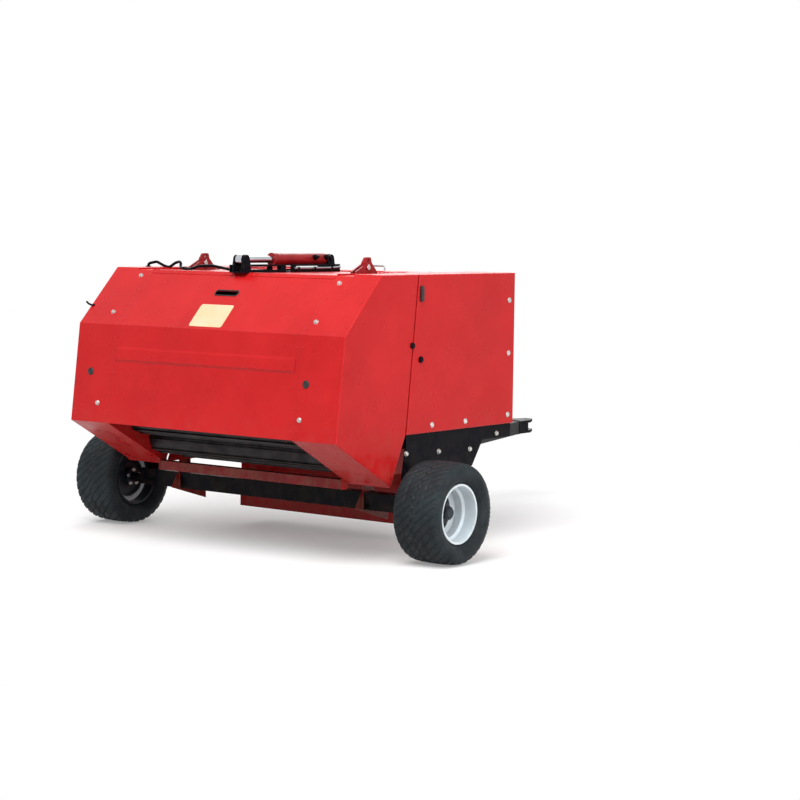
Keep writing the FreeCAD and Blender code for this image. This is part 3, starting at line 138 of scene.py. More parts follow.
class Shader(Tree):
    """A Principled material whose noises are in metres."""

    def __init__(self, name, rough=0.4, metallic=0.0, coat=0.0, coat_rough=0.1, specular=0.5):
        self.mat = bpy.data.materials.new(name)
        self.mat.use_nodes = True
        super().__init__(self.mat.node_tree)
        self.bsdf = self.tree.nodes["Principled BSDF"]
        for key, value in (("Roughness", rough), ("Metallic", metallic), ("Coat Weight", coat),
                           ("Coat Roughness", coat_rough), ("Specular IOR Level", specular)):
            self.bsdf.inputs[key].default_value = value
        self.coords = self.node("TexCoord").outputs["Object"]

    def noise(self, scale, detail=4.0, rough=0.55, stretch=None):
        """Fractal noise; stretch squeezes it along an axis."""
        vector = self.coords
        if stretch:
            vector = self.node("Mapping", Vector=vector, Scale=stretch).outputs["Vector"]
        return self.node("TexNoise", Vector=vector, Scale=scale, Detail=detail,
                         Roughness=rough).outputs["Fac"]

    def patches(self, scale, detail, low, high, start=0.0, end=1.0, rough=0.55, stretch=None):
        """Noise mapped from low..high to start..end."""
        return self.ramp(self.noise(scale, detail, rough, stretch), low, high, start, end)

    def mix(self, factor, a, b):
        item = self.node("Mix")
        item.data_type = "RGBA"
        for key, value in (("Factor", factor), ("A", a), ("B", b)):
            self.feed(item.inputs[key], colour(value) if isinstance(value, tuple) else value)
        return item.outputs["Result"]

    def normal(self):
        return self.node("NewGeometry").outputs["Normal"]

    def rounded(self, radius):
        """Normal with every edge softened by radius."""
        bevel = self.node("Bevel", Radius=radius)
        bevel.samples = 6
        return bevel.outputs["Normal"]

    def edges(self, radius):
        """1 along convex edges and in corners, within radius of them."""
        alike = self.vector("DOT_PRODUCT", self.rounded(radius), self.normal())
        return self.ramp(self.math("SUBTRACT", 1.0, alike), 0.02, 0.25)

    def finish(self, tone, roughness, bumps, radius=0.0):
        """Set the colour, the roughness and a stack of (height, strength, distance) bumps."""
        self.feed(self.bsdf.inputs["Base Color"], tone)
        self.feed(self.bsdf.inputs["Roughness"], roughness)
        normal = self.rounded(radius) if radius else None
        for height, strength, distance in bumps:
            item = self.node("Bump", Height=height, Strength=strength, Distance=distance)
            if normal is not None:
                self.feed(item.inputs["Normal"], normal)
            normal = item.outputs["Normal"]
        self.feed(self.bsdf.inputs["Normal"], normal)
        return self.mat


def colour(rgb):
    """sRGB 0-255 to the linear colour that a shader takes."""
    linear = [(c / 255 / 12.92) if c <= 10 else ((c / 255 + 0.055) / 1.055) ** 2.4 for c in rgb]
    return (*linear, 1.0)


DUST, PLASTIC_DUST, CAST_DUST = (142, 118, 96), (120, 110, 98), (120, 106, 92)


def painted(name, main, dark, light, rough=0.3, coat=0.35, dust=0.35, chips=0.5, edge=0.004,
            waves=0.02, metal=(96, 88, 82), specular=0.14, over=None):
    """Enamel on steel: uneven colour, dust low down and on ledges, and chips along the edges."""
    s = Shader(name, rough=rough, coat=coat, coat_rough=0.14, specular=specular)
    tone = s.mix(s.patches(1.7, 2.5, 0.3, 0.7), dark, main)
    tone = s.mix(s.patches(5.5, 3.0, 0.42, 0.85, 0.0, 0.5, rough=0.5), tone, light)
    streaks = s.patches(9.0, 2.5, 0.45, 0.75, 0.0, 0.16, rough=0.5, stretch=(1.0, 1.0, 0.13))
    tone = s.mix(streaks, tone, dark)
    low = s.ramp(s.part(s.coords, "Z"), 0.75, 0.25)
    ledge = s.ramp(s.part(s.normal(), "Z"), 0.75, 1.0, 0.0, 0.2)
    dirt = s.math("MULTIPLY", s.patches(14.0, 8.0, 0.42, 0.72, rough=0.65), dust)
    dirt = s.math("MULTIPLY", dirt, s.math("ADD", s.math("ADD", low, ledge), 0.04))
    tone = s.mix(dirt, tone, DUST)
    bite = s.patches(46.0, 6.0, 0.52, 0.6, rough=0.7)
    worn = s.math("MULTIPLY", s.math("MULTIPLY", s.edges(edge), bite), chips)
    tone = s.mix(worn, tone, metal)
    if over:
        tone = over(s, tone)
    matt = s.patches(7.0, 2.5, 0.3, 0.75, rough - 0.06, rough + 0.09)
    matt = s.math("ADD", s.math("MULTIPLY", dirt, 0.9), matt)
    bumps = [(s.noise(1.1, 2.0), 0.5, waves), (s.noise(260.0, 2.0), 0.06, 0.0003),
             (s.math("SUBTRACT", 1.0, worn), 0.4, 0.0008)]
    return s.finish(tone, s.math("ADD", matt, s.math("MULTIPLY", worn, 0.25)), bumps, 0.0025)


def bare_metal(name, main, dark, rough=0.32, rust=0.2, scratch_axis=(1.0, 1.0, 1.0),
               rust_rgb=(118, 66, 38)):
    """Worn steel with fine scratches along an axis and light rust in patches."""
    s = Shader(name, rough=rough, metallic=1.0)
    tone = s.mix(s.patches(12.0, 6.0, 0.3, 0.7), dark, main)
    lines = s.noise(140.0, 3.0, 0.6, scratch_axis)
    tone = s.mix(s.ramp(lines, 0.45, 0.7, 0.0, 0.45), tone, dark)
    patch = s.math("MULTIPLY", s.patches(20.0, 9.0, 0.55, 0.66, rough=0.7), rust)
    s.feed(s.bsdf.inputs["Metallic"], s.math("SUBTRACT", 1.0, patch))
    matt = s.ramp(lines, 0.3, 0.7, rough - 0.08, rough + 0.14)
    return s.finish(s.mix(patch, tone, rust_rgb), s.math("ADD", matt, s.math("MULTIPLY", patch, 0.5)),
                    [(lines, 0.18, 0.0006), (s.noise(60.0, 6.0), 0.12, 0.001)], 0.0015)


def cast(name, main, dark):
    """Painted sand casting: pebbled surface, oily stains."""
    s = Shader(name, rough=0.5, coat=0.1, coat_rough=0.3)
    tone = s.mix(s.patches(8.0, 6.0, 0.35, 0.7), main, dark)
    tone = s.mix(s.patches(18.0, 8.0, 0.52, 0.75, 0.0, 0.45, rough=0.7), tone, CAST_DUST)
    return s.finish(tone, s.patches(11.0, 5.0, 0.35, 0.7, 0.36, 0.65),
                    [(s.noise(170.0, 4.0), 0.5, 0.001), (s.noise(30.0, 4.0), 0.2, 0.002)], 0.004)


RIM_DISC_RADIUS, RIM_INBOARD_Y = 0.114, 1.104


def rim_painted_shade(s, white):
    """Painted shade: dark blue-grey on the disc, the hub and the inboard side of a rim, standing for the
    shade inside the wheel.
    """
    flat = s.vector("MULTIPLY", s.coords, (1.0, 0.0, 1.0))
    radius = s.vector("DISTANCE", flat, (AXLE.x, 0.0, AXLE.z))
    disc = s.ramp(radius, RIM_DISC_RADIUS - 0.003, RIM_DISC_RADIUS + 0.003, 1.0, 0.0)
    offset = s.math("ABSOLUTE", s.part(s.coords, "Y"))
    inboard = s.ramp(offset, RIM_INBOARD_Y - 0.002, RIM_INBOARD_Y + 0.002, 1.0, 0.0)
    # This dark colour is painted shade, not a coat of paint.
    painted_shade = s.mix(s.patches(30.0, 6.0, 0.35, 0.7), (26, 32, 42), (46, 52, 58))
    return s.mix(s.math("MAXIMUM", disc, inboard), white, painted_shade)


def rubber(name):
    """Tyre rubber: blue-black, a greenish-grey bloom, dust in the grooves and fine scuffs."""
    s = Shader(name, rough=0.62, specular=0.25)
    tone = s.mix(s.patches(6.0, 6.0, 0.3, 0.7), (15, 20, 25), (26, 34, 38))
    tone = s.mix(s.patches(3.0, 6.0, 0.48, 0.75, 0.0, 0.55, rough=0.62), tone, (40, 54, 57))
    scuff = s.patches(55.0, 7.0, 0.56, 0.75, 0.0, 0.4, rough=0.7, stretch=(1.0, 0.35, 1.0))
    tone = s.mix(scuff, tone, (66, 76, 78))
    tone = s.mix(s.math("MULTIPLY", s.edges(0.006), 0.3), tone, (74, 80, 80))
    return s.finish(tone, s.patches(16.0, 6.0, 0.3, 0.75, 0.5, 0.78),
                    [(s.noise(90.0, 6.0), 0.25, 0.0015), (s.noise(420.0, 2.0), 0.15, 0.0005)], 0.0025)


def plastic(name, main, dark):
    s = Shader(name, rough=0.5)
    tone = s.mix(s.patches(9.0, 6.0, 0.3, 0.7), main, dark)
    tone = s.mix(s.patches(40.0, 8.0, 0.6, 0.78, 0.0, 0.4, rough=0.7), tone, PLASTIC_DUST)
    return s.finish(tone, s.patches(22.0, 5.0, 0.3, 0.7, 0.4, 0.65),
                    [(s.noise(320.0, 2.0), 0.25, 0.0006)], 0.002)


def sticker(name):
    """Weathered cream vinyl, left blank."""
    s = Shader(name, rough=0.38, coat=0.2, coat_rough=0.2)
    tone = s.mix(s.patches(10.0, 6.0, 0.3, 0.72), (218, 204, 172), (226, 192, 144))
    tone = s.mix(s.patches(45.0, 8.0, 0.55, 0.75, 0.0, 0.5, rough=0.7), tone, (186, 158, 124))
    return s.finish(tone, s.patches(30.0, 4.0, 0.3, 0.7, 0.3, 0.5),
                    [(s.noise(24.0, 3.0), 0.3, 0.001), (s.noise(300.0, 2.0), 0.1, 0.0004)])


RED = painted("paint_body_red", (196, 28, 31), (182, 22, 26), (209, 37, 40), coat=0.08, chips=0.35)
BRACKET = painted("paint_bracket_red", (150, 22, 28), (116, 16, 22), (176, 34, 38), rough=0.36,
                  coat=0.15, dust=0.6, chips=0.7, edge=0.006, waves=0.004)
BLACK = painted("paint_chassis_black", (12, 12, 20), (7, 7, 13), (20, 20, 30), rough=0.24, coat=0.02,
                dust=0.08, specular=0.04, chips=0.45, edge=0.005, waves=0.005, metal=(104, 92, 80))
# White rim paint; its over hook adds painted shade on the disc, the hub and the inboard side.
WHITE = painted("paint_rim_white", (236, 246, 252), (220, 234, 242), (248, 253, 255), rough=0.28,
                coat=0.25, dust=0.15, chips=0.25, edge=0.003, waves=0.002, metal=(150, 120, 96),
                over=rim_painted_shade)
BAND = painted("paint_band_red", (176, 40, 40), (140, 30, 34), (196, 60, 56), rough=0.36,
               coat=0.1, dust=0.5, chips=0.9, edge=0.008, waves=0.003, metal=(150, 146, 140))
# Dark oily steel, made darker still as painted shade for the dim gap under the tailgate.
ROLLER = bare_metal("steel_roller", (56, 52, 53), (32, 30, 32), rough=0.42, rust=0.35,
                    scratch_axis=(1.0, 0.06, 1.0), rust_rgb=(70, 44, 34))
CHROME = bare_metal("chrome_rod", (206, 208, 212), (178, 180, 186), rough=0.14, rust=0.0,
                    scratch_axis=(0.06, 1.0, 1.0))
SHAFT = bare_metal("steel_shaft", (168, 168, 172), (120, 120, 124), rough=0.3, rust=0.25)
TINE = bare_metal("steel_tine", (132, 130, 128), (84, 80, 78), rough=0.34, rust=0.55)
ZINC = bare_metal("zinc_plate", (186, 188, 190), (146, 150, 156), rough=0.34, rust=0.12,
                  scratch_axis=(1.0, 1.0, 0.1))
BOLT = bare_metal("steel_bolt", (222, 220, 216), (180, 178, 176), rough=0.3, rust=0.12)
IRON = cast("cast_iron_grey", (58, 60, 66), (34, 35, 40))
RUBBER = rubber("rubber_tyre")
GUARD = plastic("plastic_guard", (30, 30, 34), (18, 18, 20))
STICKER = sticker("sticker_blank")

SLOT_MATERIALS = {
    "body_red": RED, "bracket_red": BRACKET, "frame_black": BLACK, "rim_white": WHITE,
    "band_metal": BAND, "roller_steel": ROLLER, "rod_chrome": CHROME, "shaft_steel": SHAFT,
    "tine_steel": TINE, "jack_zinc": ZINC, "gearbox_iron": IRON, "rubber_tyre": RUBBER,
    "guard_plastic": GUARD,
}
SLOT_OF = {material: slot for slot, material in SLOT_MATERIALS.items()}
SLOT_OF[BOLT] = "shaft_steel"


# ---- places on the frame ----

TREES = {}


def surface(node, start, direction):
    """Point and outward normal where a ray first meets a CAD node."""
    if node not in TREES:
        mesh = NODES[node].data
        TREES[node] = BVHTree.FromPolygons([v.co for v in mesh.vertices],
                                           [p.vertices for p in mesh.polygons])
    start, direction = Vector(start), Vector(direction)
    place, normal, _, _ = TREES[node].ray_cast(start, direction)
    if place is None:
        raise ValueError(f"a ray from {tuple(start)} misses {node}")
    return place, -normal if normal.dot(direction) > 0 else normal


def at_station(distance):
    """X of a place that is so far forward of the tailgate's rear edge."""
    return REAR + distance


def circle(count, start=0.0):
    """Angles at even steps round a circle."""
    return [start + 2 * math.pi * k / count for k in range(count)]


def spoke(u, v, angle, reach=1.0):
    """Vector from an axis to a place round it, in the plane of u and v."""
    return (u * math.cos(angle) + v * math.sin(angle)) * reach


def offsets(place, normal, rows):
    """Places at (out, y, z) millimetres from a place, out along its normal."""
    return [place + (normal * out + Y * y + Z * z) * MM for out, y, z in rows]


# ---- mesh helpers ----

def frame_on(place, normal, along=None):
    """Matrix with its Z along normal and its origin at place."""
    z = Vector(normal).normalized()
    guide = Vector(along) if along else (X if abs(z.x) < 0.9 else Y)
    x = (guide - guide.dot(z) * z).normalized()
    return Matrix.Translation(place) @ Matrix((x, z.cross(x), z)).transposed().to_4x4()


def bridge(bm, near, far):
    """Faces between two closed rings, or between a ring and one point."""
    for k in range(max(len(near), len(far))):
        corners = [near[k % len(near)], near[(k + 1) % len(near)],
                   far[(k + 1) % len(far)], far[k % len(far)]]
        distinct = list(dict.fromkeys(corners))
        if len(distinct) > 2:
            bm.faces.new(distinct)


def add_lathe(bm, profile, place, axis, segments=24, turn=0.0):
    """Turn (radius, height) millimetres round an axis through a place."""
    matrix = frame_on(place, axis) @ Matrix.Scale(MM, 4)
    rings = []
    for radius, height in profile:
        angles = circle(segments, turn) if radius else [0.0]
        rings.append([bm.verts.new(matrix @ Vector((radius * math.cos(a), radius * math.sin(a), height)))
                      for a in angles])
    for near, far in zip(rings, rings[1:]):
        bridge(bm, near, far)


def add_plate(bm, outline, thickness, matrix, bevel, steps=1):
    """Plate with a 2-D outline, centred on the matrix's XY plane, its edges rounded."""
    low, high = [[bm.verts.new(matrix @ Vector((x, y, z))) for x, y in outline]
                 for z in (-thickness / 2, thickness / 2)]
    faces = [bm.faces.new(low[::-1]), bm.faces.new(high)]
    bridge(bm, low, high)
    rim = {edge for face in faces for edge in face.edges}
    bmesh.ops.bevel(bm, geom=list(rim), offset=bevel, segments=steps, affect="EDGES", profile=0.5)


def rounded_outline(width, height, corner, steps=5):
    """Rectangle about the origin with round corners."""
    points = []
    for sx, sy, start in ((1, 1, 0), (-1, 1, 90), (-1, -1, 180), (1, -1, 270)):
        for k in range(steps + 1):
            angle = math.radians(start + 90 * k / steps)
            points.append((sx * (width / 2 - corner) + corner * math.cos(angle),
                           sy * (height / 2 - corner) + corner * math.sin(angle)))
    return points


def round_path(points, radius, steps=6):
    """Straight runs with an arc at each corner of a path."""
    points = [Vector(p) for p in points]
    path = [points[0]]
    for before, corner, after in zip(points, points[1:], points[2:]):
        back, ahead = (before - corner).normalized(), (after - corner).normalized()
        turn = math.pi - back.angle(ahead)
        if turn < 0.05:
            path.append(corner)
            continue
        reach = min(radius * math.tan(turn / 2), 0.48 * (before - corner).length,
                    0.48 * (after - corner).length)
        start, end = corner + back * reach, corner + ahead * reach
        for k in range(steps + 1):
            share = k / steps
            path.append(start.lerp(corner, share).lerp(corner.lerp(end, share), share))
    path.append(points[-1])
    return path


def add_tube(bm, path, radius, segments=12, caps=True):
    """Tube along a path; radius is a number or a function of the share of its length."""
    path = [Vector(p) for p in path]
    count = len(path)
    size = radius if callable(radius) else (lambda share: radius)
    normal = (path[1] - path[0]).orthogonal().normalized()
    rings = []
    for k, point in enumerate(path):
        ahead = (path[min(k + 1, count - 1)] - path[max(k - 1, 0)]).normalized()
        normal = (normal - normal.dot(ahead) * ahead).normalized()
        side = ahead.cross(normal)
        width = size(k / (count - 1))
        rings.append([bm.verts.new(point + spoke(normal, side, a, width)) for a in circle(segments)])
    for near, far in zip(rings, rings[1:]):
        bridge(bm, near, far)
    if caps:
        bm.faces.new(rings[0][::-1])
        bm.faces.new(rings[-1])


def add_bolt(bm, place, normal, size, stud=False):
    """Hexagon head, or a nut with its stud's end, on a washer. Size is the shank in millimetres."""
    ring, base, across = size * 1.15, size * 0.13, size * 0.98
    add_lathe(bm, [(0, -0.6), (ring, -0.6), (ring, size * 0.1), (ring * 0.97, size * 0.14),
                   (0, size * 0.14)], place, normal, 20)
    turn = random.uniform(0, math.pi / 3)
    top = base + size * 0.62
    add_lathe(bm, [(0, base), (across, base), (across, top - size * 0.1), (across * 0.9, top),
                   (0, top)], place, normal, 6, turn)
    add_lathe(bm, [(0, top - 0.2), (across * 0.84, top - 0.2), (across * 0.8, top + size * 0.04),
                   (0, top + size * 0.04)], place, normal, 20)
    if stud:
        end = top + size * 0.4
        add_lathe(bm, [(0, top), (size * 0.5, top), (size * 0.5, end - size * 0.08),
                       (size * 0.42, end), (0, end)], place, normal, 16)


def fasten(bm, node, start, direction, size=12, stud=False):
    """Bolt where a ray meets a CAD node."""
    add_bolt(bm, *surface(node, start, direction), size, stud)


def add_dome(bm, place, normal, radius=5.5, height=2.8):
    """Low domed head in millimetres, such as a rivet's."""
    steps = 5
    profile = [(0, -0.5), (radius, -0.5), (radius, height * 0.25)]
    for k in range(1, steps):
        angle = math.pi / 2 * k / steps
        profile.append((radius * math.cos(angle), height * (0.25 + 0.75 * math.sin(angle))))
    add_lathe(bm, profile + [(0, height)], place, normal, 16)


RIPPLE, RIPPLE_STEP = 0.13, 0.0022


def add_weld(bm, start, end, radius=0.004):
    """Rippled bead of weld between two points."""
    start, end = Vector(start), Vector(end)
    count = max(4, int((end - start).length / RIPPLE_STEP))
    wander = [random.uniform(-0.35, 0.35) * radius * 0.3 for _ in range(count + 1)]
    guide = (end - start).orthogonal().normalized()
    path = [start.lerp(end, k / count) + guide * wander[k] for k in range(count + 1)]

    def width(share):
        taper = min(1.0, 8 * share + 0.45, 8 * (1 - share) + 0.45)
        return radius * (1 + RIPPLE * math.cos(share * count * math.pi * 0.66)) * taper

    add_tube(bm, path, width, 8)


def weld_loop(bm, corners, radius=0.0045):
    for start, end in zip(corners, corners[1:] + corners[:1]):
        add_weld(bm, start, end, radius)


def weld_section(bm, y, low_x, high_x, low_z, high_z, radius=0.0045):
    """Bead round a rectangle that faces sideways."""
    weld_loop(bm, [(low_x, y, low_z), (high_x, y, low_z), (high_x, y, high_z), (low_x, y, high_z)], radius)


def add_weld_ring(bm, centre, axis, radius, size):
    """Rippled bead round a shaft."""
    matrix = frame_on(centre, axis)
    count = max(24, int(2 * math.pi * radius / RIPPLE_STEP))
    path = [matrix @ spoke(X, Y, 2 * math.pi * k / count, radius) for k in range(count + 1)]
    add_tube(bm, path, lambda share: size * (1 + RIPPLE * math.cos(share * count * 2.1)), 8, caps=False)


def add_piece(bm, name, body, material, sharp=32):
    """Close a mesh into an object that rides on a body."""
    bmesh.ops.recalc_face_normals(bm, faces=bm.faces)
    mesh = bpy.data.meshes.new(name)
    bm.to_mesh(mesh)
    bm.free()
    mesh.polygons.foreach_set("use_smooth", [True] * len(mesh.polygons))
    mesh.set_sharp_from_angle(angle=math.radians(sharp))
    mesh.materials.append(material)
    piece = bpy.data.objects.new(name, mesh)
    scene.collection.objects.link(piece)
    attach(piece, body)
    return piece


# ---- tyres and wheels ----

TREAD_DEPTH, TREAD_PITCH_COUNT, GROOVE_WIDTH, RIB_OFFSET = 0.0052, 34, 0.009, 0.058
# Half of the tyre's section in millimetres: up from the rim's seat, then down from the crown,
# each with the distance in from the sidewall's widest place.
WALL_BY_SEAT = ((0.5, 42.5), (7.5, 41.5), (12, 34.5), (20, 23.5), (32, 11), (46, 3.5), (60, 1.2), (74, 3.5))
WALL_BY_CROWN = ((31, 8), (21, 12.5), (12.5, 18.5), (7.5, 27), (4.8, 38), (2.8, 56), (1.2, 82), (0.2, 115))


def smooth_step(low, high, value):
    share = min(1.0, max(0.0, (value - low) / (high - low)))
    return share * share * (3 - 2 * share)


def groove(distance, width):
    """1 in the bottom of a groove, 0 outside it."""
    return 1 - smooth_step(width / 2 - 0.0022, width / 2 + 0.0016, abs(distance))


def tread_depth(arc, along, pitch):
    """Depth of the tread's grooves at a place on the crown, as a share of the full depth."""
    zigzag = 0.010 * (abs((arc / pitch * 2) % 2 - 1) * 2 - 1)
    depth = groove(along - zigzag, GROOVE_WIDTH)
    for rib in (-RIB_OFFSET, RIB_OFFSET):
        depth = max(depth, 0.8 * groove(along - rib - 0.25 * zigzag, 0.006))
    half = 1 if along > 0 else -1
    slant = arc + half * abs(along) * 0.85 - (0 if half > 0 else pitch / 2)
    across = ((slant / pitch + 0.5) % 1 - 0.5) * pitch * 0.78
    width = GROOVE_WIDTH * (0.75 + 3.2 * abs(along))
    return max(depth, groove(across, width) * smooth_step(0.010, 0.020, abs(along)))


def spread(points, count):
    """Points at even steps along a smooth curve through a row of points."""
    padded_row = [points[0], *points, points[-1]]
    fine = []
    for a, b, c, d in zip(padded_row, padded_row[1:], padded_row[2:], padded_row[3:]):
        for k in range(12):
            t = k / 12
            fine.append(tuple(0.5 * (2 * q + (r - p) * t + (2 * p - 5 * q + 4 * r - s) * t * t
                                     + (3 * q - p - 3 * r + s) * t ** 3)
                              for p, q, r, s in zip(a, b, c, d)))
    fine.append(points[-1])
    lengths = [0.0]
    for a, b in zip(fine, fine[1:]):
        lengths.append(lengths[-1] + math.dist(a, b))
    row, index = [], 0
    for k in range(count + 1):
        wanted = lengths[-1] * k / count
        while index < len(lengths) - 2 and lengths[index + 1] < wanted:
            index += 1
        gap = lengths[index + 1] - lengths[index]
        share = (wanted - lengths[index]) / gap if gap else 0
        row.append(tuple(a + (b - a) * share for a, b in zip(fine[index], fine[index + 1])))
    return row


def tyre_section(outer, half, seat):
    """The tyre's outline from bead to bead, as (radius, along)."""
    wall = [(seat + up * MM, half - inset * MM) for up, inset in WALL_BY_SEAT]
    wall += [(outer - down * MM, half - inset * MM) for down, inset in WALL_BY_CROWN]
    side = spread(wall + [(outer, 0.0)], 60)
    return [(radius, -along) for radius, along in side[:-1]] + side[::-1]


def wall_relief(radius, outer, seat, angle):
    """How far the sidewall's ribs stand proud."""
    protector = 0.0022 * groove(radius - seat - 0.024, 0.007)
    line = 0.0010 * (groove(radius - seat - 0.040, 0.0045) + groove(radius - seat - 0.066, 0.0045))
    share = smooth_step(outer - 0.034, outer - 0.024, radius)
    notch = groove(((angle * TREAD_PITCH_COUNT / math.pi) % 1 - 0.5) * 0.024, 0.009)
    return protector * 0.6 + line * 0.8 - 0.0035 * share * notch


def make_tyre(side_name):
    node = f"tyre_{side_name}"
    low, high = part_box(node)
    centre = (low + high) / 2
    outer, half = (high.z - low.z) / 2, (high.y - low.y) / 2
    rim_low, rim_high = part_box(f"rim_{side_name}")
    seat = (rim_high.z - rim_low.z) / 2 - 0.006
    section = tyre_section(outer, half, seat)
    pitch = 2 * math.pi * outer / TREAD_PITCH_COUNT
    bm = bmesh.new()
    rings = []
    for angle in circle(544):
        ring = []
        for radius, along in section:
            crown = smooth_step(outer - 0.030, outer - 0.010, radius)
            reach = radius - TREAD_DEPTH * crown * tread_depth(angle * outer, along, pitch)
            proud = wall_relief(radius, outer, seat, angle) * (1 - crown)
            width = along + math.copysign(proud, along)
            width = max(-half + 0.0004, min(half - 0.0004, width))
            place = Vector((reach * math.sin(angle), width, reach * math.cos(angle)))
            ring.append(bm.verts.new(centre + place))
        rings.append(ring)
    for ring, following in zip(rings, rings[1:] + rings[:1]):
        bridge(bm, ring, following)
    tyre = add_piece(bm, f"tyre_tread_{side_name}", f"wheel_{side_name}", RUBBER, 50)
    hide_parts(node)


WHEEL_NUTS, NUT_CIRCLE, HUB_CIRCLE = 5, 0.068, 0.042
VALVE_RADIUS, VALVE_ANGLE = 0.118, 2.1


def make_wheel_trim(side_name, side):
    """Wheel nuts and hub bolts, and the valve in its hole."""
    centre = Vector((AXLE.x, side * AXLE.y, AXLE.z))
    outward = Y * side
    rim, body = f"rim_{side_name}", f"wheel_{side_name}"
    nuts = bmesh.new()
    for angle in circle(WHEEL_NUTS, 0.3):
        start = centre + spoke(X, Z, angle, NUT_CIRCLE) + outward * 0.3
        add_bolt(nuts, surface(rim, start, -outward)[0], outward, 14, stud=True)
        start = centre + spoke(X, Z, angle, HUB_CIRCLE) - outward * 0.3
        add_bolt(nuts, surface(rim, start, outward)[0], -outward, 10)
    add_piece(nuts, f"wheel_nuts_{side_name}", body, BOLT)
    valve = bmesh.new()
    lean = spoke(X, Z, VALVE_ANGLE)
    place, _ = surface(rim, centre + lean * VALVE_RADIUS + outward * 0.3, -outward)
    add_lathe(valve, [(0, -2), (8.5, -2), (8.5, 2), (6.2, 6), (4.8, 10), (4.4, 26), (5, 26.5), (5, 36),
                      (4, 38), (0, 38)], place, outward + lean * -0.25, 16)
    add_piece(valve, f"valve_{side_name}", body, GUARD)


# ---- tailgate ----

PANEL_HALF, BEND_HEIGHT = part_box("gate_rear_panel")[1].yz
GATE_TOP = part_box("gate_top_panel")[1].z
COVER_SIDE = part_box("side_cover_left")[1].y

GATE_BOLTS = [(0.735, 1.240), (-0.700, 1.240), (0.710, 1.437), (-0.700, 1.432), (0.742, 0.750),
              (-0.690, 0.750)]
GATE_PLUGS = [(0.815, 0.917), (-0.712, 0.930)]
SEAM_RIVETS = (0.69, 0.80, 0.91, 1.11, 1.20, 1.28, 1.36, 1.44)
EDGE_RIVETS = (0.70, 0.86, 1.06, 1.22, 1.34)


def gate_skin(y, z):
    """Point and normal on the tailgate's outer skin, seen from behind."""
    if abs(y) > PANEL_HALF:
        node = "gate_cover_left" if y > 0 else "gate_cover_right"
    else:
        node = "gate_upper_panel" if z > BEND_HEIGHT else "gate_rear_panel"
    return surface(node, (REAR - 1, y, z), X)


def make_gate_fasteners():
    bolts = bmesh.new()
    for y, z in GATE_BOLTS:
        add_bolt(bolts, *gate_skin(y, z), 12)
    add_piece(bolts, "gate_bolts", "tailgate", BOLT)
    plugs = bmesh.new()
    for y, z in GATE_PLUGS:
        add_lathe(plugs, [(0, -1), (21, -1), (21, 2), (18, 4.5), (14, 5), (12, 2.5), (0, 2.5)],
                  *gate_skin(y, z), 28)
    add_piece(plugs, "gate_plugs", "tailgate", GUARD)
    rivets = bmesh.new()
    for side in SIGNS:
        for z in SEAM_RIVETS:
            for y in (PANEL_HALF - 0.016, PANEL_HALF + 0.024):
                add_dome(rivets, *gate_skin(side * y, z))
        for z in EDGE_RIVETS:
            add_dome(rivets, *gate_skin(side * (COVER_SIDE - 0.022), z))
    add_piece(rivets, "gate_rivets", "tailgate", RED)


LABEL_SPAN = (0.135, -0.095, 1.190, 1.302)  # left, right, low, high


def make_sticker():
    """Blank cream label with round corners, laid on the slope."""
    left, right, low, high = LABEL_SPAN
    place, normal = gate_skin((left + right) / 2, (low + high) / 2)
    rise = (high - low) / abs(normal.cross(Y).normalized().z)
    bm = bmesh.new()
    add_plate(bm, rounded_outline(left - right, rise, 0.012), 0.0008,
              frame_on(place + normal * 0.0005, normal, Y), 0.0003)
    add_piece(bm, "label_blank", "tailgate", STICKER)


STRIP_THICKNESS, STRIP_DROP, STRIP_REACH = 0.002, 0.024, 0.020
STRIP_RIVETS, STRIP_RIVET_END, STRIP_RIVET_RISE = 5, 0.040, 0.010


def make_ridge_strips():
    """Angle strips riveted over the joint between the sloping panel and the top panel."""
    slope, normal = gate_skin(0.3, GATE_TOP - 0.030)
    rise = Vector((normal.z, 0, -normal.x))
    ridge = slope + rise * ((GATE_TOP - slope.z) / rise.z)
    lower = ridge - rise * STRIP_DROP
    front = Vector((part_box("gate_top_panel")[0].x + STRIP_REACH, 0, GATE_TOP))
    corner = ridge + (normal + Z) * (STRIP_THICKNESS / (1 + normal.dot(Z)))
    section = [lower, ridge, front, front + Z * STRIP_THICKNESS, corner,
               lower + normal * STRIP_THICKNESS]
    near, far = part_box("gate_cylinder_ears")[1].y + 0.004, PANEL_HALF - 0.003
    bm = bmesh.new()
    for side in SIGNS:
        middle = (0, side * (near + far) / 2, 0)
        add_plate(bm, [place.xz for place in section], far - near,
                  frame_on(middle, -Y, X), 0.0004)
        for k in range(STRIP_RIVETS):
            run = far - near - 2 * STRIP_RIVET_END
            y = side * (near + STRIP_RIVET_END + run * k / (STRIP_RIVETS - 1))
            spot = Vector((lower.x, y, lower.z)) + rise * STRIP_RIVET_RISE + normal * STRIP_THICKNESS
            add_dome(bm, spot, normal)
    add_piece(bm, "ridge_strips", "tailgate", RED)


SLOT_SPAN = (0.093, -0.070, 1.350, 1.376, 0.010)  # left, right, low, high, cut corner


def make_slot_lip():
    """Rolled rubber edge round the hand slot."""
    left, right, low, high, cut = SLOT_SPAN
    corners = [(left - cut, low), (left, low + cut), (left, high - cut), (left - cut, high),
               (right + cut, high), (right, high - cut), (right, low + cut), (right + cut, low)]
    start, normal = gate_skin(0.3, (low + high) / 2)
    rise = Z - X * (normal.z / normal.x)
    loop = [start + Y * (y - start.y) + rise * (z - start.z) + normal * 0.0005 for y, z in corners]
    bm = bmesh.new()
    add_tube(bm, loop + loop[:1], 0.0038, 10, caps=False)
    bmesh.ops.remove_doubles(bm, verts=bm.verts, dist=0.0002)
    add_piece(bm, "hand_slot_edge", "tailgate", GUARD)


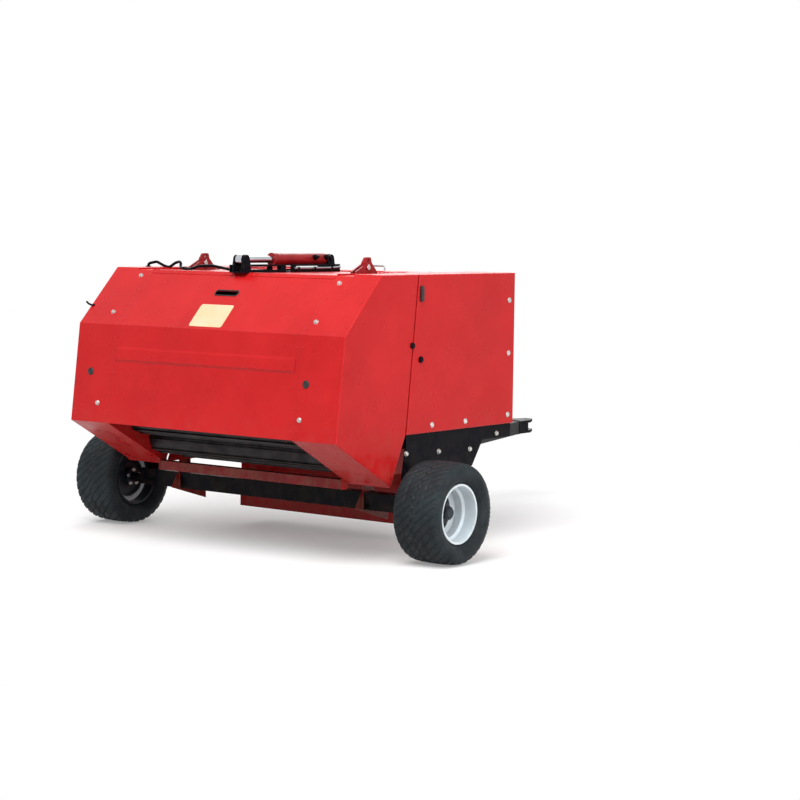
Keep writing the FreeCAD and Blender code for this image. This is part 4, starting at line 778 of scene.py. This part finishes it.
def make_edge_hook():
    """Small bent tab on the left sloping edge."""
    place, normal = gate_skin(COVER_SIDE - 0.020, 1.27)
    bm = bmesh.new()
    tab = offsets(place, normal, [(3, 0, 0), (4, 18, 0), (12, 30, 0), (30, 34, 0)])
    add_tube(bm, round_path(tab, 0.012), 0.0055, 10)
    add_bolt(bm, place + normal * 0.0005, normal, 8)
    add_piece(bm, "edge_hook", "tailgate", BLACK)


DECK_NODES = ("gate_top_panel", "gate_cover_left", "gate_sides", "gate_cylinder_ears")


def deck(distance, y):
    """Point on top of the tailgate at a station."""
    places = []
    for node in DECK_NODES:
        try:
            places.append(surface(node, (at_station(distance), y, 2), -Z)[0])
        except ValueError:
            continue
    return max(places, key=lambda place: place.z)


LINE_RADIUS, LINE_END = 0.008, 0.075
# (station, y, height over the deck) along the line, from its hole to its fitting
LINE_ROUTE = [(0.588, 0.922, -0.012), (0.588, 0.920, 0.018), (0.588, 0.855, 0.030), (0.586, 0.800, 0.009),
              (0.584, 0.755, 0.009), (0.582, 0.705, 0.036), (0.572, 0.655, 0.036), (0.540, 0.625, 0.010),
              (0.505, 0.560, 0.009), (0.470, 0.480, 0.009), (0.452, 0.400, 0.026), (0.446, 0.300, 0.030),
              (0.440, 0.170, 0.012), (0.440, LINE_END, 0.012), (0.440, 0.052, 0.012)]
LINE_CLIPS = ((0.584, 0.755), (0.505, 0.560), (0.440, 0.120))


def make_top_line():
    """Steel line bent over the tailgate's top and held by clips."""
    bm = bmesh.new()
    points = []
    for distance, y, lift in LINE_ROUTE:
        place = deck(distance, max(y, LINE_END))
        points.append(Vector((place.x, y, place.z + lift)))
    add_tube(bm, round_path(points, 0.05, 7), LINE_RADIUS, 14)
    add_lathe(bm, [(0, -1), (14, -1), (14, 10), (12, 13), (8.2, 13)], points[-1], Y, 6)
    add_lathe(bm, [(8.2, 6), (12, 6), (16, 3), (18, -0.5), (8.2, -0.5)], deck(0.588, 0.921), Z)
    for distance, y in LINE_CLIPS:
        place = deck(distance, y)
        add_lathe(bm, [(8, -7), (10, -7), (10, 7), (8, 7)], place + Z * 0.009, Y, 20)
        tab = place + X * 0.020 + Z * 0.0012
        add_plate(bm, rounded_outline(0.030, 0.016, 0.005, 3), 0.002, frame_on(tab, Z, X), 0.0005)
        add_bolt(bm, tab + Z * 0.0008 + X * 0.004, Z, 7)
    add_piece(bm, "top_line", "tailgate", BLACK)


# ---- hinge and cylinder ----

LUG_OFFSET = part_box("hinge_lugs")[1].y - 0.030


def make_hinge_trim():
    """Caps and split pins on the ends of the hinge pins."""
    bm = bmesh.new()
    for side in SIGNS:
        for face in (-1, 1):
            outward = Y * face
            start = Vector((HINGE.x, side * LUG_OFFSET + face * 0.2, HINGE.z))
            end, _ = surface("gate_hinge_arms", start, -outward)
            add_lathe(bm, [(0, -1), (13.5, -1), (13.5, 0.6), (12.5, 1.8), (0, 1.8)], end, outward, 28)
            cheek = end - outward * 0.003
            for lean in (-0.006, 0.006):
                add_tube(bm, [cheek + Z * 0.006, cheek + Z * 0.017 + X * lean], 0.0018, 8)
    add_piece(bm, "hinge_trim", "tailgate", BOLT)


PORT_STATIONS, PORT_LEAN = (0.919, 1.016), 0.25
BARREL_RADIUS, EYE_WELD_REACH = 0.0315, 0.0325
BARREL_WELD_STATION = 0.66


def make_cylinder_trim():
    """Ports with capped elbows on the barrel, rims of two holes in the gland, and two welds."""
    side = Vector((0, -math.cos(PORT_LEAN), math.sin(PORT_LEAN)))
    fittings = bmesh.new()
    for distance in PORT_STATIONS:
        base = Vector((at_station(distance), 0, BARREL_PIN.z)) + side * (BARREL_RADIUS - 0.003)
        add_lathe(fittings, [(0, -2), (14.5, -2), (14.5, 8), (13, 10), (0, 10)], base, side)
        add_lathe(fittings, [(0, 10), (13, 10), (13, 17), (11.5, 19), (0, 19)], base, side, 6)
        bend = base + side * 0.031
        elbow = [base + side * 0.018, bend, bend - X * 0.030]
        add_tube(fittings, round_path(elbow, 0.014), 0.008, 14)
        add_lathe(fittings, [(0, 0), (11.5, 0), (12, 1), (12, 14), (10.5, 16), (10.5, 21), (9, 22), (0, 22)],
                  bend - X * 0.020, -X, 6)
    add_piece(fittings, "cylinder_ports", "cylinder_barrel", BLACK)
    ring = bmesh.new()
    gland = Vector((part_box("cylinder_barrel")[0].x - 0.0002, 0, BARREL_PIN.z))
    for angle in circle(2, 0.6):
        add_lathe(ring, [(1.8, 0.4), (3, 0.4), (3.2, -0.2)],
                  gland + spoke(Y, Z, angle, 0.026), -X, 12)
    add_weld_ring(ring, Vector((BARREL_PIN.x - EYE_WELD_REACH, 0, BARREL_PIN.z)), X, 0.0185, 0.0035)
    seam = Vector((at_station(BARREL_WELD_STATION), 0, BARREL_PIN.z))
    add_weld_ring(ring, seam, X, BARREL_RADIUS - 0.0012, 0.002)
    add_piece(ring, "cylinder_welds", "cylinder_barrel", BRACKET)


def make_channel_trim():
    """Pipe along the channel, on clips."""
    low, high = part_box("cylinder_base")
    side, level = low.y - 0.0075, low.z + 0.022
    pipe = bmesh.new()
    points = [(high.x - 0.010, side, level + 0.004), (high.x - 0.070, side, level),
              (low.x + 0.020, side, level)]
    add_tube(pipe, round_path(points, 0.03), 0.006)
    add_piece(pipe, "channel_pipe", "chassis", ZINC)
    clips = bmesh.new()
    for share in (0.12, 0.45, 0.8):
        x = low.x + (high.x - low.x) * share
        add_lathe(clips, [(6.2, -7), (7.8, -7), (7.8, 7), (6.2, 7), (6.2, -7)], (x, side, level), X, 18)
        add_plate(clips, rounded_outline(0.014, 0.016, 0.002, 2), 0.0016,
                  frame_on((x, side - 0.001, low.z + 0.008), Y), 0.0004)
    add_piece(clips, "channel_clips", "chassis", BLACK)


# ---- chassis ----

SKIRT_BOLTS = ((0.600, 0.551), (1.170, 0.533), (0.885, 0.542), (1.420, 0.600))
FRONT_BEAM_BOLTS = ((0.305, 0.470), (0.495, 0.470), (0.600, 0.470), (0.085, 0.545), (0.085, 0.630))
COVER_FASTENERS = ((0.80, 0.690), (1.10, 0.690), (1.50, 0.700), (1.50, 1.040), (1.50, 1.330))
BUFFER_STATION, BUFFER_HEIGHT = 0.692, 1.380


def make_chassis_bolts():
    bm = bmesh.new()
    for side in SIGNS:
        for distance, z in SKIRT_BOLTS:
            fasten(bm, "side_frames", (at_station(distance), side * 1.5, z), -Y * side)
        for y, z in FRONT_BEAM_BOLTS:
            fasten(bm, "front_cross_beam", (1, side * y, z), -X)
    add_piece(bm, "chassis_bolts", "chassis", BOLT)


def make_side_cover_trim():
    """Buffers ahead of the seam, and turn fasteners of the side covers."""
    buffers = bmesh.new()
    fasteners = bmesh.new()
    for name, side in SIDES.items():
        node = f"side_cover_{name}"
        outward = Y * side
        place, normal = surface(node, (at_station(BUFFER_STATION), side * 1.5, BUFFER_HEIGHT), -outward)
        add_plate(buffers, rounded_outline(0.024, 0.082, 0.006), 0.012,
                  frame_on(place + normal * 0.0055, normal, X), 0.003, 2)
        for z in (-0.022, 0.022):
            add_dome(buffers, place + normal * 0.0114 + Z * z, normal, 6, 3)
        for distance, z in COVER_FASTENERS:
            place, normal = surface(node, (at_station(distance), side * 1.5, z), -outward)
            add_lathe(fasteners, [(0, -0.5), (15, -0.5), (15, 1.5), (13.5, 3), (12.5, 3), (11.8, 1.8),
                                  (0, 1.8)], place, normal, 28)
            add_plate(fasteners, rounded_outline(0.018, 0.0035, 0.0012, 3), 0.003,
                      frame_on(place + normal * 0.0028, normal, (0.7, 0, 0.7)), 0.0006)
    add_piece(buffers, "cover_buffers", "chassis", GUARD)
    add_piece(fasteners, "cover_fasteners", "chassis", BOLT)


RIVET_PITCH, RIVET_END, RIVET_EDGE = 0.09, 0.022, 0.020


def make_top_rivets():
    """Rivet rows of the hood and of the tailgate's top panel."""
    for node, body, name in (("hood_top", "chassis", "hood_rivets"),
                             ("gate_top_panel", "tailgate", "gate_top_rivets")):
        low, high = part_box(node)
        bm = bmesh.new()
        start, run = low.x + RIVET_END, high.x - low.x - 2 * RIVET_END
        count = int((high.x - low.x) / RIVET_PITCH)
        for side in SIGNS:
            for k in range(count + 1):
                place = (start + run * k / count, side * (high.y - RIVET_EDGE), 2)
                add_dome(bm, *surface(node, place, -Z))
        add_piece(bm, name, body, RED)


BEAM_LOW, BEAM_HIGH = 0.240, 0.330


def make_axle_welds():
    """Beads where the axle beam passes through its brackets."""
    bm = bmesh.new()
    low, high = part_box("axle_beam")
    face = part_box("axle_brackets")[1].y
    for side in SIGNS:
        for y in (face + 0.0005, face - 0.0065):
            weld_section(bm, side * y, low.x, high.x, BEAM_LOW, BEAM_HIGH)
    add_piece(bm, "axle_welds", "chassis", BRACKET)


STITCH, STITCH_PITCH = 0.040, 0.085


def make_gate_welds():
    """Beads at the ends of the crossbar, and stitches along the cylinder's channel and ears."""
    bm = bmesh.new()
    low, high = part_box("gate_crossbar")
    for side in SIGNS:
        weld_section(bm, side * (high.y - 0.0005), low.x, high.x, low.z, high.z, 0.004)
    add_piece(bm, "crossbar_welds", "tailgate", BRACKET)
    for node, body, name in (("gate_cylinder_ears", "tailgate", "channel_welds"),
                             ("cylinder_base", "chassis", "channel_front_welds")):
        low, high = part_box(node)
        bm = bmesh.new()
        for side in SIGNS:
            y, z, start = side * high.y, low.z + 0.001, low.x + 0.030
            while start < high.x - 0.06:
                add_weld(bm, (start, y, z), (start + STITCH, y, z))
                start += STITCH_PITCH
        add_piece(bm, name, body, BLACK)


# ---- front end ----

DRAWBAR_ROOT, DRAWBAR_TIP, DRAWBAR_HALF = 0.400, 0.045, 0.030
JACK_Y = 0.265
JACK_X = (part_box("jack_leg")[0].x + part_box("jack_leg")[1].x) / 2
JACK_CRANK_REACH, JACK_HEAD_DROP = 0.130, 0.155


def make_drawbar_trim():
    bm = bmesh.new()
    low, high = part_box("drawbar_beams")
    for side in SIGNS:
        inner, outer = side * (DRAWBAR_ROOT - DRAWBAR_HALF), side * (DRAWBAR_ROOT + DRAWBAR_HALF)
        weld_loop(bm, [(low.x, inner, low.z), (low.x, outer, low.z), (low.x, outer, high.z),
                       (low.x, inner, high.z)])
        tip, near = side * (DRAWBAR_TIP + DRAWBAR_HALF), side * (DRAWBAR_TIP - DRAWBAR_HALF)
        for z in (low.z, high.z):
            add_weld(bm, (high.x, near, z), (high.x, tip, z), 0.0045)
        add_weld(bm, (high.x, tip, low.z), (high.x, tip, high.z), 0.0045)
    add_piece(bm, "drawbar_welds", "chassis", BLACK)


def make_jack_trim():
    """Cap of the jack's grip, a grease nipple on its gear head, and a weld and rings on its foot."""
    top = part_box("jack_tube")[1].z
    bm = bmesh.new()
    grip, _ = surface("jack_tube", (JACK_X + JACK_CRANK_REACH, JACK_Y, 2), -Z)
    add_dome(bm, grip - Z * 0.0005, Z, 13.5, 6)
    add_lathe(bm, [(4, -3), (4.2, 3), (2.5, 4), (2.2, 8), (3.4, 9.5), (3, 12), (0, 12.5)],
              *surface("jack_tube", (JACK_X, JACK_Y + 1, top - JACK_HEAD_DROP), -Y), 12)
    add_piece(bm, "jack_trim", "chassis", BOLT)
    feet = bmesh.new()
    add_weld_ring(feet, Vector((JACK_X, JACK_Y, 0.0166)), Z, 0.0290, 0.0020)
    for angle in circle(4, math.pi / 4):
        start = Vector((JACK_X, JACK_Y, 0.2)) + spoke(X, Y, angle, 0.070)
        add_lathe(feet, [(6.5, -0.5), (9.2, -0.5), (8.5, 1.4), (6.8, 1.4)],
                  *surface("jack_leg", start, -Z), 20)
    add_piece(feet, "jack_foot_trim", "jack_leg", ZINC)


def make_gearbox_trim():
    """Bolts of the bearing caps, the top plate with its breather, and the level plug."""
    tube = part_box("drive_tube")
    middle = Vector(((tube[0].x + tube[1].x) / 2, 0, INPUT_AXIS.z))
    bolts = bmesh.new()
    for side in SIGNS:
        outward = Y * side
        for angle in circle(6, math.pi / 6):
            start = middle + spoke(X, Z, angle, 0.068) + outward
            add_bolt(bolts, surface("gearbox", start, -outward)[0], outward, 8)
    plate = bmesh.new()
    top = surface("gearbox", (middle.x, 0.02, 2), -Z)[0].z
    add_plate(plate, rounded_outline(0.110, 0.130, 0.014), 0.009,
              frame_on((middle.x, 0, top + 0.004), Z, X), 0.002, 2)
    lid_top = Vector((middle.x, 0, top + 0.0085))
    add_lathe(plate, [(0, -1), (13, -1), (13, 10), (9.5, 12), (9.5, 18), (16, 20), (16, 30), (13, 34),
                      (0, 35)], lid_top + Y * 0.030, Z)
    for x in (-0.043, 0.043):
        for y in (-0.052, 0.052):
            add_bolt(bolts, lid_top + X * x + Y * y, Z, 8)
    fasten(bolts, "gearbox", (middle.x - 0.085, -1, INPUT_AXIS.z - 0.060), Y, 11)
    add_piece(plate, "gearbox_top_plate", "chassis", IRON)
    add_piece(bolts, "gearbox_bolts", "chassis", BOLT)
    guard = bmesh.new()
    for angle in circle(4, math.pi / 4):
        outward = spoke(Y, Z, angle)
        fasten(guard, "pto_guard", Vector((0.010, 0, INPUT_AXIS.z)) + outward * 0.3, -outward, 6)
    add_piece(guard, "guard_screws", "chassis", BOLT)


SPLINES, SPLINE_STEPS, SPLINE_TIP, SPLINE_ROOT = 6, 12, 0.0172, 0.0146


def make_input_shaft():
    """Splined end of the input shaft with a locking groove and a chamfered tip."""
    low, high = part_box("pto_shaft")
    journal = (high.z - low.z) / 2
    bm = bmesh.new()

    def ring(x, radius, toothed=False):
        verts = []
        for k, angle in enumerate(circle(SPLINES * SPLINE_STEPS)):
            share = (k % SPLINE_STEPS) / SPLINE_STEPS
            tooth = smooth_step(0.10, 0.20, share) * (1 - smooth_step(0.58, 0.68, share))
            reach = SPLINE_ROOT + (radius - SPLINE_ROOT) * tooth if toothed else radius
            verts.append(bm.verts.new((x, reach * math.cos(angle), INPUT_AXIS.z + reach * math.sin(angle))))
        return verts

    rings = [ring(x, radius) for x, radius in (
        (low.x, journal * 0.8), (low.x + 0.002, journal), (-0.001, journal), (0.0, SPLINE_TIP),
        (0.012, SPLINE_TIP))]
    root = SPLINE_ROOT + 0.0001
    rings += [ring(x, radius, True) for x, radius in (
        (0.020, SPLINE_TIP), (0.062, SPLINE_TIP), (0.066, root), (0.074, root), (0.078, SPLINE_TIP),
        (0.104, SPLINE_TIP), (0.1095, root))]
    for near, far in zip(rings, rings[1:]):
        bridge(bm, near, far)
    bm.faces.new(rings[0])
    bm.faces.new(rings[-1][::-1])
    shaft = add_piece(bm, "input_shaft_splined", "pto_shaft", SHAFT)
    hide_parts("pto_shaft")


# ---- pickup and twine box ----

TINE_ROWS, TINES_IN_ROW, TINE_PITCH = 4, 15, 0.075
TINE_BAR_CIRCLE, TINE_BAR_RADIUS = 0.095, 0.014
COIL_WIRE, COIL_RADIUS, COIL_PITCH = 0.0026, TINE_BAR_RADIUS + 0.0024, 0.0056
COIL_TURNS, COIL_STEPS = 3, 14


def make_tine_coils():
    """Spring coils of the tines, wound round the bars of the reel."""
    bm = bmesh.new()
    for row in circle(TINE_ROWS):
        bar = REEL + spoke(X, Z, row, TINE_BAR_CIRCLE)
        for index in range(TINES_IN_ROW):
            start = (index - (TINES_IN_ROW - 1) / 2) * TINE_PITCH + 0.0055
            path = []
            for k in range(COIL_TURNS * COIL_STEPS + 1):
                turn = k / COIL_STEPS
                place = bar + spoke(X, -Z, 2 * math.pi * turn - row, COIL_RADIUS)
                path.append(place + Y * (start + COIL_PITCH * turn))
            add_tube(bm, path, COIL_WIRE, 6)
    add_piece(bm, "tine_coils", "pickup_reel", TINE, 60)


def make_pickup_trim():
    """Bearing housings on the pickup's side plates and the bolts that hold the bands."""
    housings = bmesh.new()
    bolts = bmesh.new()
    for side in SIGNS:
        outward = Y * side
        place, _ = surface("pickup_frame", (REEL.x + 0.052, side, REEL.z), -outward)
        centre = Vector((REEL.x, place.y, REEL.z))
        add_lathe(housings, [(26.2, 0), (46, 0), (46, 6), (40, 9), (38, 16), (34, 18), (26.2, 18),
                             (26.2, 0)], centre, outward, 40)
        for angle in circle(4, math.pi / 4):
            lobe = centre + spoke(X, Z, angle, 0.050)
            add_lathe(housings, [(0, 0), (14, 0), (14, 7), (13, 8), (0, 8)], lobe, outward)
            add_bolt(bolts, lobe + outward * 0.008, outward, 9)
    for index in range(TINES_IN_ROW + 1):
        y = (index - TINES_IN_ROW / 2) * TINE_PITCH
        for x in (REEL.x - 0.150, REEL.x - 0.120):
            add_dome(bolts, *surface("pickup_bands", (x, y, REEL.z + 0.5), -Z), 6.5, 3.5)
        add_dome(bolts, *surface("pickup_bands", (REEL.x - 0.155, y, REEL.z - 0.5), Z), 6.5, 3.5)
    add_piece(housings, "reel_bearings", "pickup", IRON)
    add_piece(bolts, "pickup_bolts", "pickup", BOLT)


LATCH_OFFSET, LATCH_HEIGHT, PULL_HALF, PULL_RISE = 0.36, 1.385, 0.075, 0.028
KNUCKLES, KNUCKLE_PITCH = 7, 0.16


def make_twine_box_trim():
    """Latches and a pull on the lid, and the knuckles of its hinge."""
    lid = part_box("twine_box_lid")[1]
    catches = bmesh.new()
    hooks = bmesh.new()
    for side in SIGNS:
        y = side * LATCH_OFFSET
        place, normal = surface("twine_box", (1, y, LATCH_HEIGHT), -X)
        add_plate(catches, rounded_outline(0.040, 0.060, 0.006), 0.004,
                  frame_on(place + normal * 0.0018, normal, Y), 0.001, 2)
        for z in (-0.020, 0.020):
            add_dome(catches, place + normal * 0.0038 + Z * z, normal, 5, 2.5)
        loop = offsets(place, normal, [(3, 12, 0), (14, 12, 6), (14, -12, 6), (3, -12, 0)])
        add_tube(catches, round_path(loop, 0.006), 0.003, 8)
        edge, normal = surface("twine_box_lid", (1, y, lid.z - 0.015), -X)
        add_plate(hooks, rounded_outline(0.034, 0.018, 0.004), 0.004,
                  frame_on(edge + normal * 0.0018, normal, Y), 0.001, 2)
        hook = offsets(edge, normal, [(3, 0, -2), (12, 0, -3), (12, 0, 6)])
        add_tube(hooks, round_path(hook, 0.006), 0.003, 8)
    add_piece(catches, "lid_catches", "chassis", ZINC)
    x = lid.x - 0.060
    top = surface("twine_box_lid", (x, 0.0, 2), -Z)[0].z
    ends = [[Vector((x, y, top + rise)) for rise in (-0.004, PULL_RISE)] for y in (-PULL_HALF, PULL_HALF)]
    add_tube(hooks, round_path(ends[0] + ends[1][::-1], 0.018), 0.005)
    for side in SIGNS:
        add_lathe(hooks, [(4.8, -0.5), (12, -0.5), (12, 1.2), (8.5, 3), (4.8, 4)],
                  (x, side * PULL_HALF, top), Z, 20)
    add_piece(hooks, "lid_hooks", "twine_box_lid", ZINC)
    knuckles = bmesh.new()
    for k in range(KNUCKLES):
        y = (k - (KNUCKLES - 1) / 2) * KNUCKLE_PITCH - 0.030
        add_lathe(knuckles, [(7.2, 0), (9.2, 1), (9.6, 2), (9.6, 58), (9.2, 59), (7.2, 60)],
                  (LID_HINGE.x, y, LID_HINGE.z), Y, 20)
    add_piece(knuckles, "lid_knuckles", "twine_box_lid", RED)


# ---- dressing ----

def node_slot(name):
    """The record's slot that a CAD node came with."""
    return NODES[name].material_slots[0].material.name.split(".")[0]


def dress_all():
    for name in NODES:
        material = SLOT_MATERIALS[node_slot(name)]
        for slot in NODES[name].material_slots:
            slot.material = material


dress_all()
for side_name, side_sign in SIDES.items():
    make_tyre(side_name)
    make_wheel_trim(side_name, side_sign)
make_gate_fasteners()
make_sticker()
make_ridge_strips()
make_slot_lip()
make_edge_hook()
make_top_line()
make_hinge_trim()
make_cylinder_trim()
make_channel_trim()
make_chassis_bolts()
make_side_cover_trim()
make_top_rivets()
make_axle_welds()
make_gate_welds()
make_drawbar_trim()
make_jack_trim()
make_gearbox_trim()
make_input_shaft()
make_tine_coils()
make_pickup_trim()
make_twine_box_trim()


# ---- camera, light and floor ----

YAW, PITCH, ROLL = 0.6507568, 0.0837956, 0.0129425
FOCAL_PIXELS, FRAME_PIXELS, SENSOR = 2095.44, 800, 36.0
CAMERA_PLACE = (-9.58, -7.44, 1.739)


def make_camera():
    forward = Vector((math.cos(YAW) * math.cos(PITCH), math.sin(YAW) * math.cos(PITCH), -math.sin(PITCH)))
    level = forward.cross(Z).normalized()
    upright = level.cross(forward)
    right, up = spoke(level, upright, ROLL), spoke(upright, -level, ROLL)
    data = bpy.data.cameras.new("camera")
    data.sensor_width = SENSOR
    data.lens = FOCAL_PIXELS / FRAME_PIXELS * SENSOR
    data.clip_end = 200
    camera = bpy.data.objects.new("camera", data)
    camera.matrix_world = Matrix.Translation(CAMERA_PLACE) @ Matrix(
        (right, up, -forward)).transposed().to_4x4()
    scene.collection.objects.link(camera)
    scene.camera = camera


def area_light(name, place, aim, power, size=7.0):
    data = bpy.data.lights.new(name, "AREA")
    data.shape = "DISK"
    data.size = size
    data.energy = power
    lamp = bpy.data.objects.new(name, data)
    lamp.location = place
    lamp.rotation_mode = "QUATERNION"
    lamp.rotation_quaternion = (Vector(aim) - Vector(place)).to_track_quat("-Z", "Y")
    scene.collection.objects.link(lamp)


SKY_LOW, SKY_HIGH = 0.16, 0.62


def make_world():
    """White behind the object; for light, an overcast sky that is brighter overhead."""
    world = bpy.data.worlds.new("studio")
    scene.world = world
    world.use_nodes = True
    w = Tree(world.node_tree)
    up = w.part(w.node("TexCoord").outputs["Generated"], "Z")
    sky = w.ramp(up, -0.1, 0.9, SKY_LOW, SKY_HIGH)
    strength = w.node("Mix", Factor=w.shown_rays(), A=sky, B=1.0).outputs["Result"]
    background = w.tree.nodes["Background"]
    w.feed(background.inputs["Strength"], strength)
    background.inputs["Color"].default_value = (1, 1, 1, 1)


FLOOR_HALF, FLOOR_NEAR, FLOOR_FAR = 60.0, 2.4, 4.6


def make_floor():
    """Pale floor that takes the shadow and fades to plain white away from the object."""
    size = FLOOR_HALF
    mesh = bpy.data.meshes.new("floor")
    mesh.from_pydata([(-size, -size, 0), (size, -size, 0), (size, size, 0), (-size, size, 0)],
                     [], [(0, 1, 2, 3)])
    floor = bpy.data.objects.new("floor", mesh)
    scene.collection.objects.link(floor)
    s = Shader("floor_pale", rough=0.9, specular=0.0)
    shown = s.shown_rays()
    pale = s.mix(s.noise(0.6, 3.0), (252, 252, 252), (255, 255, 255))
    s.feed(s.bsdf.inputs["Base Color"], s.mix(shown, (196, 192, 190), pale))
    far = s.ramp(s.vector("LENGTH", s.coords), FLOOR_NEAR, FLOOR_FAR, 0.25, 1.0)
    blend = s.node("MixShader", Fac=s.math("MULTIPLY", shown, far))
    s.feed(blend.inputs[1], s.bsdf.outputs["BSDF"])
    s.feed(blend.inputs[2], s.node("Emission", Strength=1.0).outputs["Emission"])
    s.feed(s.tree.nodes["Material Output"].inputs["Surface"], blend.outputs["Shader"])
    mesh.materials.append(s.mat)


make_camera()
make_world()
make_floor()
area_light("key", (-6.0, -2.0, 7.5), (-0.4, 0, 0.8), 740)
area_light("side", (-1.5, -9.0, 2.8), (-0.3, 0, 0.6), 390)
area_light("front", (6.0, 5.0, 6.0), (0, 0, 0.7), 270)

scene.view_settings.view_transform = "Standard"
